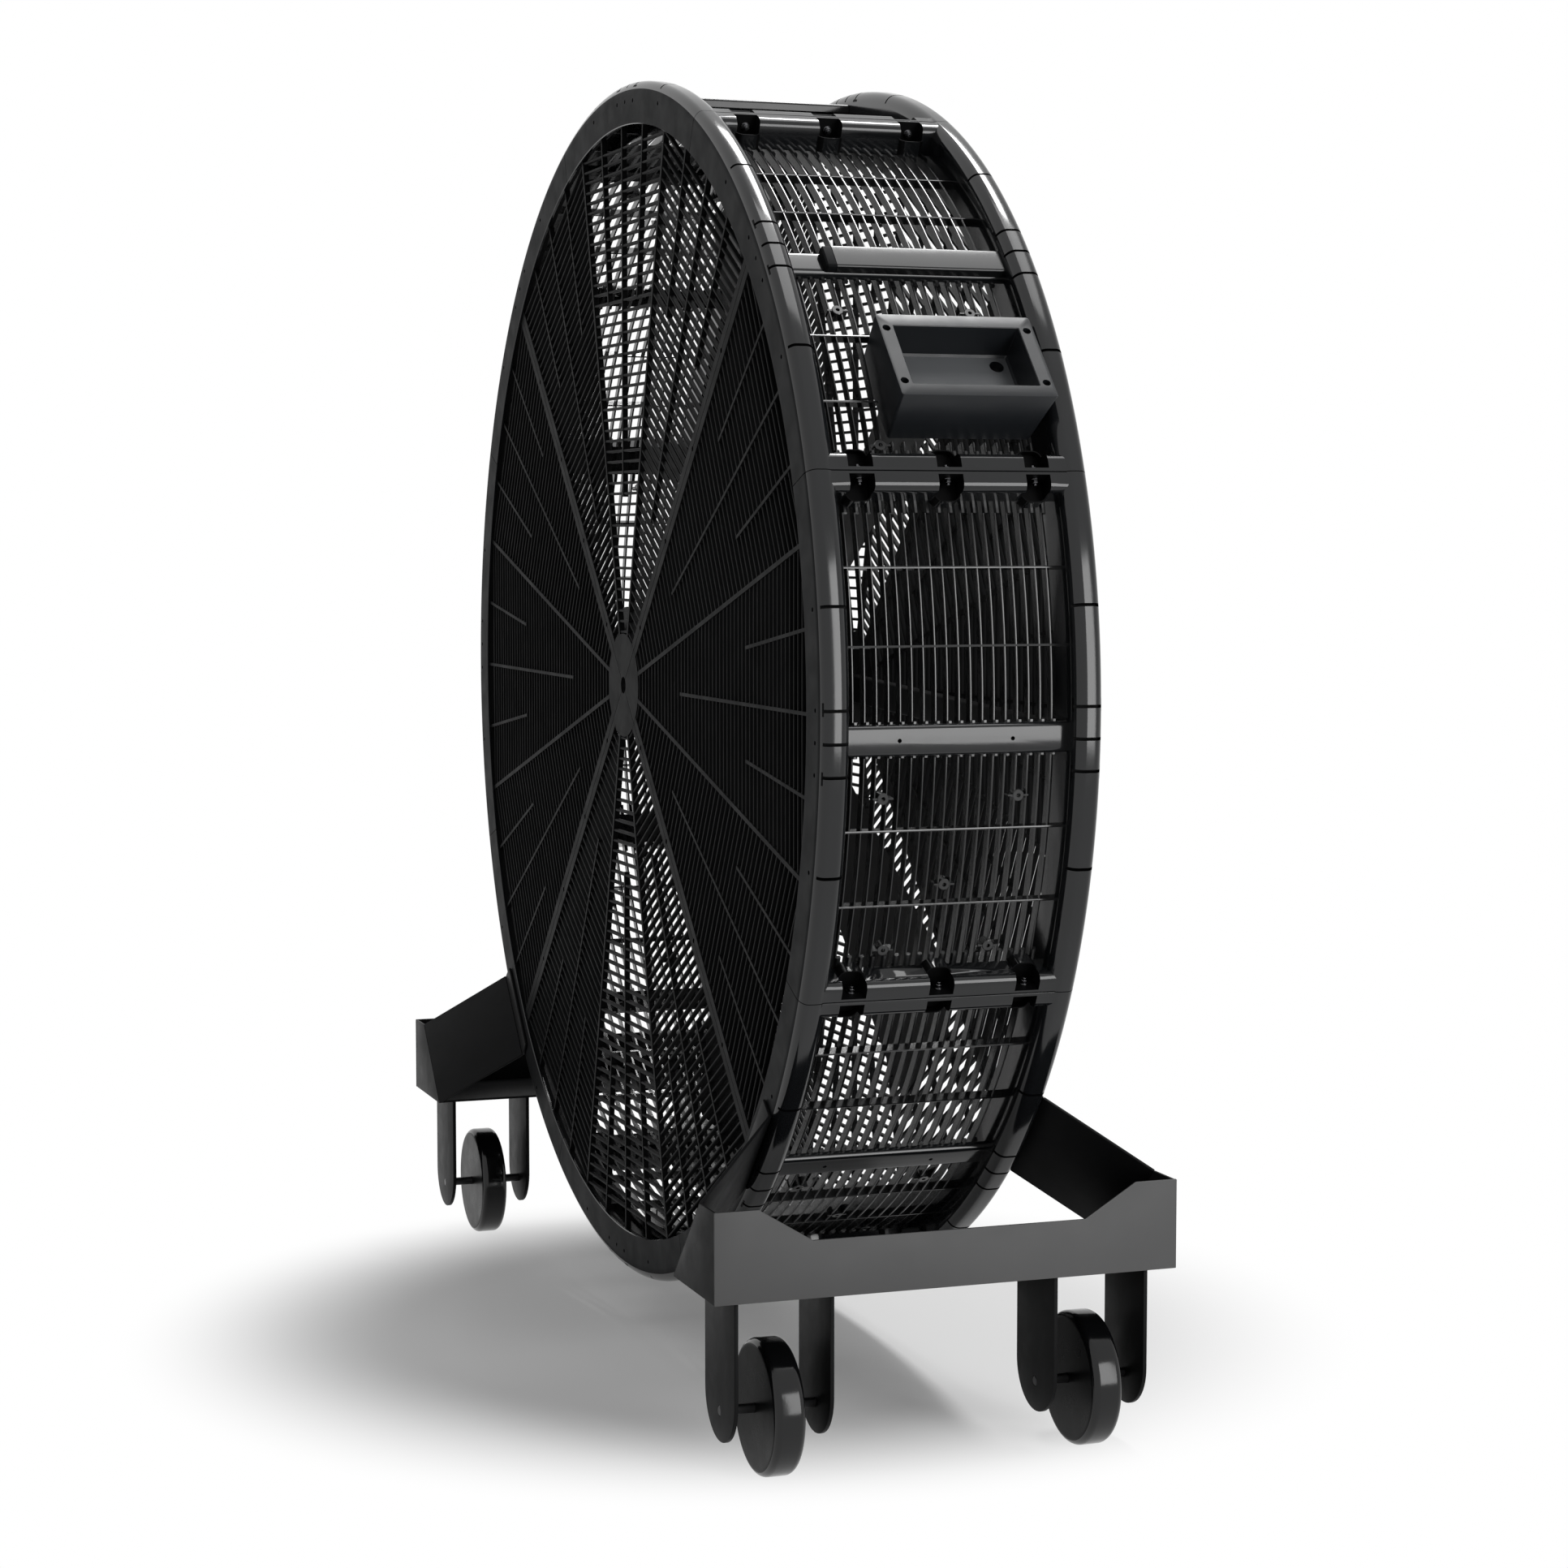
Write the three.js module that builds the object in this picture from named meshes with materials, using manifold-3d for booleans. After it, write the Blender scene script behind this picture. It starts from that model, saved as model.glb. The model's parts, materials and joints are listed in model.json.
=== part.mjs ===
// Large drum fan: an eight-segment drum with web grilles, a three-blade rotor inside it,
// and two sheet-metal trays that carry the drum on four wheels.
// Millimetres, +Z up, drum axis along Y, front grille facing -Y, floor at Z = 0.
import * as THREE from 'three';
import { mergeVertices } from 'three/addons/utils/BufferGeometryUtils.js';
import Module from 'manifold-3d';

const wasm = await Module();
wasm.setup();

// ---------- driving dimensions ----------
const FIT = 0.3;                  // clearance between pieces that seat on each other
const OVERLAP = 1;                // how far joined shapes run into one another

const WHEEL_R = 63.5;             // five-inch wheel
const WHEEL_W = 30;
const WHEEL_SHOULDER = 7;         // rounding of the tread edges
const AXLE_R = 4.7;
const FORK_T = 4;                 // fork plate thickness
const FORK_W = 86;                // fork plate width along X
const FORK_GAP = 88;              // clear space between the two plates of a pair
const FORK_DROP = 28.5;           // from the axle down to the plate's rounded end
const FORK_INSET = 56.6;          // wheel centre from the end plate's outer face
const FORK_EDGE = 71;             // and from the end of the tray

const DRUM_R = 630;               // crest of the rim
const DRUM_DEPTH = 273;
const DRUM_LIFT = 7.5;            // lowest point of the rim above the wheel axles
const DRUM_TURN = -2.25;          // degrees, middle of segment 1 from +X
const SEGMENTS = 8;
const RIM_STEPS = 6;              // facets of the rim in one segment
const ROUND_STEPS = 24;           // facets of a wheel, motor or hub
const SMALL_STEPS = 12;           // facets of a shaft, axle or small hole

const BEAD_H = 13;                // rounded bead outside the flat annulus
const ANNULUS_W = 30.5;
const PLATE_T = 3;                // annulus thickness
const RIM_W = 28.5;               // rim width along the axis
const RIM_WALL_H = 16.7;          // from the annulus's outer edge in to the rim's underside
const BEAD_AT = 9;                // crest of the rim's rounded bead, behind the face
const BEAD_FLAT = 8;              // width of the crest
const BEAD_ROUND = 4;             // rounding of the bead's front corner
const RIM_CHAMFER = 3;            // inside corner between the annulus and the rim
const FLANGE_BELOW = 1;           // bolted flange at each seam, below the bead's crest
const FLANGE_W = 13;
const FLANGE_FOOT = 18.5;
const FLANGE_BEVEL = 12;
const SEAM_WALL = 3.3;            // metal left between a bolt pocket and the seam
const POCKET_W = 24;
const POCKET_EDGE = 10.5;         // from the outer pockets to the rims
const POCKET_DEPTH = 22;
const CROSSBAR_T = 8;
const CROSSBAR_W = 28.7;

const SIDE_T = 3.5;               // side grille wire
const SIDE_WIRES = 5;
const SIDE_EDGE = 10;             // end bars of the side grille
const SIDE_CROSS_AT = 11;         // degrees from the segment's middle
const SIDE_CROSS_W = 4;

const GRILLE_T = 5;
const GRILLE_LAP = 9.5;           // how far the grille runs behind the annulus
const GRILLE_RIM = 8;             // outer ring of the grille
const GRILLE_ROWS = 5;
const SLAT_W = 8;
const SPOKE_W = 9;                // half of a 45 degree spoke
const BAR_W = 5;                  // half of a 15 degree bar
const GRILLE_STEPS = 12;          // facets of a grille quarter's outer edge
const HUB_PLATE_R = 55;
const HUB_HOLE_R = 9;

const RAIL_T = 8.5;
const RAIL_BEVEL = 2.5;
const RAIL_LENGTH = 168.7;

const BOX_BELOW = 4;              // control box face below the bead's crest
const BOX_TOP = -87;              // along the face, from the segment's middle
const BOX_H = 103.5;
const BOX_W = 153;
const BOX_GAP = 1;                // between the box and the rear rim
const BOX_DEPTH = 40;
const BOX_FLANGE = 14.5;
const BOX_RECESS = 36;
const BOX_HOLE_R = 7;             // cable hole in the recess floor
const BOX_HOLE_BACK = 14.5;       // from its middle to the recess's rear wall
const BOX_HOLE_UNDER = 14.5;      // and to its upper wall
const BOX_SCREW_R = 2.5;
const BOX_SCREW_SIDE = 7;         // screw holes from the flange's sides
const BOX_SCREW_END = 18;         // and from its upper and lower edges

const MOTOR_R = 85;
const MOTOR_LEN = 35;
const MOTOR_NOSE = 15;            // bevel round the motor's front
const MOTOR_TAIL = 7;             // bevel round its back
const BRIDGE_W = 28;
const BRIDGE_T = 15;
const BRIDGE_GAP = 0.7;           // between the bridge and the rear rims
const SHAFT_R = 10;
const SHAFT_GRIP = 28;            // how far the shaft runs into the motor
const HUB_R = 60;
const HUB_T = 24;
const SHAFT_FREE = 8;             // bare shaft between the motor and the hub
const HUB_BEVEL = 10;
const BLADES = 5;
const TIP_GAP = 36.5;             // between the blade tips and the side grilles
const BLADE_CHORD = 150;
const BLADE_ROOT_CHORD = 66;
const BLADE_WIDENS = 1;           // share of the blade's length over which it widens
const BLADE_CAMBER = 6;
const BLADE_T = 4;
const BLADE_ROOT_PITCH = 16;      // degrees out of the rotor's plane
const BLADE_TIP_PITCH = 8;
const BLADE_FIRST = 36;           // degrees from +X

const SHEET = 3;                  // tray sheet
const TRAY_INSET = 29.4;          // end plate's outer face inside the drum's widest point
const TRAY_OVERHANG = 91.3;       // how far the tray reaches past each face of the drum
const TRAY_CLEAR = 47.9;          // underside of the tray above the wheels
const TRAY_H = 84.5;
const TRAY_DIP = 31.3;
const DIP_INSIDE = 2.2;           // the dip's corners from the faces of the drum
const SHOULDER_W = 42;
const RETURN_TOP = 45;            // width of the end returns at the top
const RETURN_FOOT = 124.5;
const CRADLE_BELOW = 10;          // where the cradle arms meet the rim, below its crest
const CRADLE_UPPER = -37.5;       // degrees from +X
const CRADLE_LOWER = -48.2;
const CRADLE_TAB = 20;

// ---------- sizes that follow ----------
const AXIS_Z = WHEEL_R + DRUM_LIFT + DRUM_R;
const HALF = DRUM_DEPTH / 2;
const ARC = 360 / SEGMENTS;
const FACE_R = DRUM_R - BEAD_H;
const EYE_R = FACE_R - ANNULUS_W;
const RIM_WALL_R = FACE_R - RIM_WALL_H;
const RIM_INNER = HALF - RIM_W;
const FLANGE_TOP_R = DRUM_R - FLANGE_BELOW;
const POCKET_FLOOR_R = FLANGE_TOP_R - POCKET_DEPTH;
const POCKET_PITCH = RIM_INNER - POCKET_EDGE - POCKET_W / 2;
const CROSSBAR_R = RIM_WALL_R + CROSSBAR_T;
const SIDE_R = RIM_WALL_R - FIT;
const GRILLE_BACK = HALF - PLATE_T - FIT;
const SIDE_HALF = GRILLE_BACK - GRILLE_T - FIT;
const BRIDGE_FRONT = RIM_INNER - BRIDGE_GAP - BRIDGE_T;
const MOTOR_BACK = BRIDGE_FRONT - FIT;
const MOTOR_FRONT = MOTOR_BACK - MOTOR_LEN;
const HUB_FRONT = MOTOR_FRONT - SHAFT_FREE - HUB_T;
const BLADE_TIP_R = SIDE_R - SIDE_T - TIP_GAP;
const BOX_FACE = DRUM_R - BOX_BELOW;
const BOX_BOTTOM = BOX_TOP - BOX_H;
const BOX_BACK_Y = RIM_INNER - BOX_GAP;
const BOX_FRONT = BOX_BACK_Y - BOX_W;
const TRAY_X = DRUM_R - TRAY_INSET;
const TRAY_HALF = HALF + TRAY_OVERHANG;
const TRAY_BASE = 2 * WHEEL_R + TRAY_CLEAR;
const DIP_HALF = HALF - DIP_INSIDE;
const SHOULDER_HALF = TRAY_HALF - SHOULDER_W;
const FORK_X = TRAY_X - FORK_INSET;
const FORK_Y = TRAY_HALF - FORK_EDGE;
const CRADLE_R = DRUM_R - CRADLE_BELOW;

// ---------- materials ----------
function finish(color, roughness, metalness) {
  return new THREE.MeshStandardMaterial({ color, roughness, metalness });
}
const DRUM_PLASTIC = finish(0x0c0d0f, 0.32, 0.0);
const GRILLE_PAINT = finish(0x101113, 0.55, 0.2);
const TRAY_PAINT = finish(0x2b2c2e, 0.6, 0.3);
const FORK_PAINT = finish(0x161718, 0.5, 0.3);
const BOX_PAINT = finish(0x33353a, 0.5, 0.2);
const RUBBER = finish(0x08090a, 0.3, 0.0);
const STEEL = finish(0x1b1c1e, 0.4, 0.8);
const MOTOR_PAINT = finish(0x121316, 0.5, 0.3);
const BLADE_PAINT = finish(0x0e0f10, 0.55, 0.3);

// ---------- helpers ----------
const rad = THREE.MathUtils.degToRad;

function solid(geometry) {
  const bare = geometry.clone();
  bare.deleteAttribute('normal');
  bare.deleteAttribute('uv');
  const merged = mergeVertices(bare, 1e-4);
  return new wasm.Manifold(new wasm.Mesh({
    numProp: 3,
    vertProperties: new Float32Array(merged.attributes.position.array),
    triVerts: new Uint32Array(merged.index.array),
  }));
}

function mesh(name, body, material) {
  const data = body.getMesh();
  const geometry = new THREE.BufferGeometry();
  geometry.setAttribute('position', new THREE.BufferAttribute(data.vertProperties, 3));
  geometry.setIndex(new THREE.BufferAttribute(data.triVerts, 1));
  geometry.computeVertexNormals();
  const item = new THREE.Mesh(geometry, material);
  item.name = name;
  return item;
}

// A prism along Y: points are [x, z] pairs, holes are lists of such points.
function prism(points, y0, y1, holes = []) {
  const toVector = ([x, z]) => new THREE.Vector2(x, z);
  const shape = new THREE.Shape(points.map(toVector));
  for (const hole of holes) shape.holes.push(new THREE.Path(hole.map(toVector)));
  const geometry = new THREE.ExtrudeGeometry(shape, { depth: y1 - y0, bevelEnabled: false });
  geometry.rotateX(Math.PI / 2);
  geometry.translate(0, y1, 0);
  return solid(geometry);
}

function block(x0, x1, y0, y1, z0, z1) {
  const geometry = new THREE.BoxGeometry(x1 - x0, y1 - y0, z1 - z0);
  geometry.translate((x0 + x1) / 2, (y0 + y1) / 2, (z0 + z1) / 2);
  return solid(geometry);
}

// A full ring about Y from a closed profile of [radius, y] pairs.
function ring(profile, steps, start = 0) {
  const points = [...profile, profile[0]].map(([r, y]) => new THREE.Vector2(r, y));
  return solid(new THREE.LatheGeometry(points, steps, start));
}

function cylinderY(radius, y0, y1, steps) {
  const geometry = new THREE.CylinderGeometry(radius, radius, y1 - y0, steps);
  geometry.translate(0, (y0 + y1) / 2, 0);
  return solid(geometry);
}

// A point given by its distance out along a direction and its offset across it.
function polar(out, across, degrees) {
  const c = Math.cos(rad(degrees));
  const s = Math.sin(rad(degrees));
  return [out * c - across * s, out * s + across * c];
}

// A pie slice of the drum about +X, drawn in by a margin on both sides.
function wedge(degrees, margin, y0, y1) {
  const reach = 2 * DRUM_R;
  const tip = margin / Math.sin(rad(degrees / 2));
  const z = reach * Math.tan(rad(degrees / 2));
  return prism([[tip, 0], [tip + reach, -z], [tip + reach, z]], y0, y1);
}

// ---------- drum ----------
function segmentFrame() {
  const rim = (side) => {
    const profile = [
      [EYE_R, 0], [FACE_R, 0], [DRUM_R - BEAD_ROUND, BEAD_AT - BEAD_ROUND], [DRUM_R, BEAD_AT],
      [DRUM_R, BEAD_AT + BEAD_FLAT], [FACE_R, RIM_W], [RIM_WALL_R, RIM_W],
      [RIM_WALL_R, PLATE_T + RIM_CHAMFER], [RIM_WALL_R - RIM_CHAMFER, PLATE_T], [EYE_R, PLATE_T],
    ].map(([r, t]) => [r, side * (HALF - t)]);
    if (side > 0) profile.reverse();
    return ring(profile, SEGMENTS * RIM_STEPS);
  };
  let body = rim(-1).add(rim(1)).intersect(wedge(ARC, FIT / 2, -HALF - OVERLAP, HALF + OVERLAP));

  const reach = RIM_INNER + OVERLAP;
  for (const side of [-1, 1]) {
    const corner = (r, u) => polar(r, -side * u, side * ARC / 2);
    const flange = [
      corner(RIM_WALL_R, FIT / 2), corner(FLANGE_TOP_R, FIT / 2), corner(FLANGE_TOP_R, FLANGE_W),
      corner(FLANGE_TOP_R - FLANGE_BEVEL, FLANGE_FOOT), corner(RIM_WALL_R, FLANGE_FOOT),
    ];
    if (side > 0) flange.reverse();
    body = body.add(prism(flange, -reach, reach));
    for (const n of [-1, 0, 1]) {
      const pocket = [
        corner(POCKET_FLOOR_R, SEAM_WALL), corner(DRUM_R + OVERLAP, SEAM_WALL),
        corner(DRUM_R + OVERLAP, FLANGE_FOOT + OVERLAP),
        corner(POCKET_FLOOR_R, FLANGE_FOOT + OVERLAP),
      ];
      if (side > 0) pocket.reverse();
      const y = n * POCKET_PITCH;
      body = body.subtract(prism(pocket, y - POCKET_W / 2, y + POCKET_W / 2));
    }
  }
  const half = CROSSBAR_W / 2;
  return body.add(block(RIM_WALL_R, CROSSBAR_R, -reach, reach, -half, half));
}

function sideGrille() {
  const inner = SIDE_R - SIDE_T;
  const steps = SEGMENTS * RIM_STEPS;
  const hoop = (y0, y1) => ring([[inner, y0], [SIDE_R, y0], [SIDE_R, y1], [inner, y1]], steps);
  const pitch = 2 * SIDE_HALF / (SIDE_WIRES - 1);
  let body = hoop(-SIDE_HALF, -SIDE_HALF + SIDE_EDGE).add(hoop(SIDE_HALF - SIDE_EDGE, SIDE_HALF));
  for (let i = 1; i < SIDE_WIRES - 1; i++) {
    const y = -SIDE_HALF + i * pitch;
    body = body.add(hoop(y - SIDE_T / 2, y + SIDE_T / 2));
  }
  body = body.intersect(wedge(ARC, FIT / 2, -HALF, HALF));
  const shell = ring([[inner, -SIDE_HALF], [SIDE_R, -SIDE_HALF], [SIDE_R, SIDE_HALF],
    [inner, SIDE_HALF]], steps);
  for (const side of [-1, 1]) {
    const bar = [[inner - OVERLAP, SIDE_CROSS_W / 2], [DRUM_R, SIDE_CROSS_W / 2],
      [DRUM_R, -SIDE_CROSS_W / 2], [inner - OVERLAP, -SIDE_CROSS_W / 2]];
    const cross = bar.map(([r, u]) => polar(r, u, side * SIDE_CROSS_AT)).reverse();
    const edge = [[inner - OVERLAP, FIT / 2], [DRUM_R, FIT / 2], [DRUM_R, SIDE_EDGE],
      [inner - OVERLAP, SIDE_EDGE]].map(([r, u]) => polar(r, -side * u, side * ARC / 2));
    if (side > 0) edge.reverse();
    body = body.add(prism(cross, -SIDE_HALF, SIDE_HALF).intersect(shell));
    body = body.add(prism(edge, -SIDE_HALF, SIDE_HALF).intersect(shell));
  }
  return body;
}

// One quarter of a web grille, about +X: three sectors of straight slats between bars.
function grilleQuarter(side) {
  const outer = EYE_R + GRILLE_LAP;
  const half = 45;                // degrees on each side of the quarter's middle
  const arc = (radius, margin, count) => {
    const limit = half - THREE.MathUtils.radToDeg(margin / radius);
    const points = [];
    for (let i = 0; i <= count; i++) {
      points.push(polar(radius, 0, -limit + 2 * limit * i / count));
    }
    return points;
  };
  const outline = [...arc(outer, FIT / 2, GRILLE_STEPS),
    ...arc(HUB_HOLE_R, FIT / 2, SMALL_STEPS / 4).reverse()];
  const sector = 2 * half / 3;
  const first = (HUB_PLATE_R + SLAT_W) * Math.cos(rad(sector / 2));
  const last = (outer - GRILLE_RIM) * Math.cos(rad(sector / 2));
  const pitch = (last - first + SLAT_W) / (GRILLE_ROWS + 1);
  const holes = [];
  for (let s = -1; s <= 1; s++) {
    const reach = (d, way) => {
      const bar = (s === way ? SPOKE_W : BAR_W) / Math.cos(rad(sector / 2));
      return way * (d * Math.tan(rad(sector / 2)) - bar);
    };
    for (let row = 0; row <= GRILLE_ROWS; row++) {
      const near = first + row * pitch;
      const far = near + pitch - SLAT_W;
      const corners = [[near, reach(near, -1)], [far, reach(far, -1)], [far, reach(far, 1)],
        [near, reach(near, 1)]];
      holes.push(corners.map(([d, u]) => polar(d, u, s * sector)));
    }
  }
  const y = side * GRILLE_BACK;
  return prism(outline, Math.min(y, y - side * GRILLE_T), Math.max(y, y - side * GRILLE_T), holes);
}

// ---------- control box and rails, drawn about +X like a segment ----------
function boxRoom(margin) {
  return block(BOX_FACE - BOX_DEPTH - margin, DRUM_R + BOX_DEPTH, BOX_FRONT - margin,
    BOX_BACK_Y + margin, BOX_BOTTOM - margin, BOX_TOP + margin);
}

function controlBox() {
  let body = block(BOX_FACE - BOX_DEPTH, BOX_FACE, BOX_FRONT, BOX_BACK_Y, BOX_BOTTOM, BOX_TOP);
  const m = BOX_FLANGE;
  body = body.subtract(block(BOX_FACE - BOX_RECESS, BOX_FACE + OVERLAP, BOX_FRONT + m,
    BOX_BACK_Y - m, BOX_BOTTOM + m, BOX_TOP - m));
  const drill = (radius, y, z, depth) => {
    const geometry = new THREE.CylinderGeometry(radius, radius, depth + 2 * OVERLAP, SMALL_STEPS);
    geometry.rotateZ(Math.PI / 2);
    geometry.translate(BOX_FACE - depth / 2, y, z);
    return solid(geometry);
  };
  for (const y of [BOX_FRONT + BOX_SCREW_SIDE, BOX_BACK_Y - BOX_SCREW_SIDE]) {
    for (const z of [BOX_BOTTOM + BOX_SCREW_END, BOX_TOP - BOX_SCREW_END]) {
      body = body.subtract(drill(BOX_SCREW_R, y, z, BOX_DEPTH / 2));
    }
  }
  const holeY = BOX_BACK_Y - m - BOX_HOLE_BACK;
  return body.subtract(drill(BOX_HOLE_R, holeY, BOX_TOP - m - BOX_HOLE_UNDER, BOX_DEPTH));
}

function rail() {
  const bottom = CROSSBAR_R + FIT;
  const top = bottom + RAIL_T;
  const half = CROSSBAR_W / 2;
  const bevel = RAIL_BEVEL;
  const section = [[bottom, -half], [top - bevel, -half], [top, -half + bevel],
    [top, half - bevel], [top - bevel, half], [bottom, half]];
  const end = RIM_INNER - FIT;
  return prism(section, end - RAIL_LENGTH, end);
}

// ---------- rotor and motor ----------
function motorBridge() {
  const length = RIM_WALL_R - FIT;
  const half = BRIDGE_W / 2;
  return block(-length, length, BRIDGE_FRONT, BRIDGE_FRONT + BRIDGE_T, -half, half);
}

function motor() {
  const profile = [[0, MOTOR_FRONT], [MOTOR_R - MOTOR_NOSE, MOTOR_FRONT],
    [MOTOR_R, MOTOR_FRONT + MOTOR_NOSE], [MOTOR_R, MOTOR_BACK - MOTOR_TAIL],
    [MOTOR_R - MOTOR_TAIL, MOTOR_BACK], [0, MOTOR_BACK]].map(([r, y]) => new THREE.Vector2(r, y));
  const body = solid(new THREE.LatheGeometry(profile, ROUND_STEPS));
  const end = MOTOR_FRONT + SHAFT_GRIP + FIT;
  return body.subtract(cylinderY(SHAFT_R + FIT, MOTOR_FRONT - OVERLAP, end, SMALL_STEPS));
}

function fanHub() {
  const bore = SHAFT_R + FIT;
  const profile = [[bore, HUB_FRONT], [HUB_R - HUB_BEVEL, HUB_FRONT],
    [HUB_R, HUB_FRONT + HUB_BEVEL], [HUB_R, HUB_FRONT + HUB_T], [bore, HUB_FRONT + HUB_T]];
  return ring(profile, ROUND_STEPS);
}

function blade() {
  const root = HUB_R + FIT;
  const length = BLADE_TIP_R - root;
  const geometry = new THREE.BoxGeometry(length, BLADE_T, BLADE_CHORD, 6, 1, 2);
  const place = geometry.attributes.position;
  for (let i = 0; i < place.count; i++) {
    const along = place.getX(i) / length + 0.5;
    const widened = Math.min(1, along / BLADE_WIDENS);
    const width = BLADE_ROOT_CHORD + (BLADE_CHORD - BLADE_ROOT_CHORD) * widened;
    const pitch = rad(BLADE_ROOT_PITCH + (BLADE_TIP_PITCH - BLADE_ROOT_PITCH) * along);
    const across = place.getZ(i) / BLADE_CHORD;
    const chord = across * width;
    const camber = BLADE_CAMBER * (1 - (2 * across) ** 2) * along;
    const height = place.getY(i) + camber;
    place.setX(i, root + along * length);
    place.setY(i, height * Math.cos(pitch) + chord * Math.sin(pitch));
    place.setZ(i, chord * Math.cos(pitch) - height * Math.sin(pitch));
  }
  geometry.translate(0, HUB_FRONT + HUB_T / 2, 0);
  return solid(geometry).subtract(cylinderY(root, -HALF, HALF, ROUND_STEPS));
}

// ---------- trays, forks and wheels, drawn for the +X end ----------
function tray() {
  const base = TRAY_BASE;
  const top = base + TRAY_H;
  const inner = TRAY_X - RETURN_FOOT;
  const outline = [[-TRAY_HALF, base], [TRAY_HALF, base], [TRAY_HALF, top], [SHOULDER_HALF, top],
    [DIP_HALF, top - TRAY_DIP], [-DIP_HALF, top - TRAY_DIP], [-SHOULDER_HALF, top],
    [-TRAY_HALF, top]];
  const plate = new THREE.ExtrudeGeometry(
    new THREE.Shape(outline.map(([y, z]) => new THREE.Vector2(y, z))),
    { depth: SHEET, bevelEnabled: false });
  plate.applyMatrix4(new THREE.Matrix4().makeBasis(new THREE.Vector3(0, 1, 0),
    new THREE.Vector3(0, 0, 1), new THREE.Vector3(1, 0, 0)));
  plate.translate(TRAY_X - SHEET, 0, 0);
  let body = solid(plate).add(block(inner, TRAY_X, -TRAY_HALF, TRAY_HALF, base, base + SHEET));

  const side = [[inner, base], [TRAY_X, base], [TRAY_X, top], [TRAY_X - RETURN_TOP, top]];
  for (const way of [-1, 1]) {
    const y0 = way > 0 ? TRAY_HALF - SHEET : -TRAY_HALF;
    body = body.add(prism(side, y0, y0 + SHEET)).add(cradleArm(way));
  }
  return body;
}

// The arm rises from the slanted edge of the return to the face of the drum's rim,
// where a tab lies flat on the annulus.
function cradleArm(way) {
  const onRim = (degrees, r) => {
    const [x, z] = polar(r, 0, degrees);
    return new THREE.Vector3(x, way * (HALF + FIT), z + AXIS_Z);
  };
  const upper = onRim(CRADLE_UPPER, CRADLE_R);
  const lower = onRim(CRADLE_LOWER, CRADLE_R);
  const beyond = (from, x, z) => {
    const end = new THREE.Vector3(x, way * TRAY_HALF, z);
    return end.add(end.clone().sub(from).setLength(SHEET));
  };
  const face = [beyond(upper, TRAY_X - RETURN_TOP, TRAY_BASE + TRAY_H),
    beyond(lower, TRAY_X - RETURN_FOOT, TRAY_BASE), lower, upper];
  const normal = face[0].clone().sub(upper).cross(lower.clone().sub(upper)).setLength(SHEET);
  const start = face.map((p) => p.clone().addScaledVector(normal, -1 / 2));
  const tab = [upper, lower, onRim(CRADLE_LOWER, CRADLE_R - CRADLE_TAB),
    onRim(CRADLE_UPPER, CRADLE_R - CRADLE_TAB)];
  const body = slab(start, normal).add(slab(tab, new THREE.Vector3(0, way * SHEET, 0)));
  const [near, far] = way > 0 ? [HALF + FIT, TRAY_HALF] : [-TRAY_HALF, -HALF - FIT];
  return body.intersect(block(0, TRAY_X, near, far, TRAY_BASE, AXIS_Z));
}

// A four-cornered plate swept by an offset.
function slab(corners, offset) {
  const points = [...corners, ...corners.map((p) => p.clone().add(offset))];
  const faces = [[0, 1, 2, 3], [7, 6, 5, 4], [0, 4, 5, 1], [1, 5, 6, 2], [2, 6, 7, 3], [3, 7, 4, 0]];
  const build = (order) => {
    const geometry = new THREE.BufferGeometry().setFromPoints(points);
    geometry.setIndex(order.flatMap(([a, b, c, d]) => [a, b, c, a, c, d]));
    return solid(geometry);
  };
  const body = build(faces);
  return body.volume() > 0 ? body : build(faces.map((f) => [...f].reverse()));
}

function forkPlate() {
  const round = FORK_W / 2;
  const centre = WHEEL_R - FORK_DROP + round;
  const points = [[round, TRAY_BASE - FIT], [-round, TRAY_BASE - FIT]];
  for (let i = 0; i <= SMALL_STEPS; i++) {
    const [x, z] = polar(round, 0, 180 + 180 * i / SMALL_STEPS);
    points.push([x, z + centre]);
  }
  const hole = [];
  for (let i = 0; i < SMALL_STEPS; i++) {
    const [x, z] = polar(AXLE_R + FIT, 0, -360 * i / SMALL_STEPS);
    hole.push([x, z + WHEEL_R]);
  }
  return prism(points, -FORK_T / 2, FORK_T / 2, [hole]);
}

// The wheel's facets lie outside its true circle, and one of them is flat on the floor.
function wheel() {
  const h = WHEEL_W / 2;
  const points = [[AXLE_R + FIT, -h]];
  for (const way of [-1, 1]) {
    for (const turn of way < 0 ? [0, 45, 90] : [90, 45, 0]) {
      const r = WHEEL_R - WHEEL_SHOULDER * (1 - Math.sin(rad(turn)));
      points.push([r, way * (h - WHEEL_SHOULDER * (1 - Math.cos(rad(turn))))]);
    }
  }
  points.push([AXLE_R + FIT, h]);
  const step = Math.PI / ROUND_STEPS;
  return ring(points.map(([r, y]) => [r / Math.cos(step), y]), ROUND_STEPS, step);
}

// ---------- assembly ----------
const fan = new THREE.Group();
const drum = new THREE.Group();
drum.position.z = AXIS_Z;
fan.add(drum);

function turned(item, degrees) {
  item.rotation.y = -rad(degrees);
  return item;
}

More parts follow.
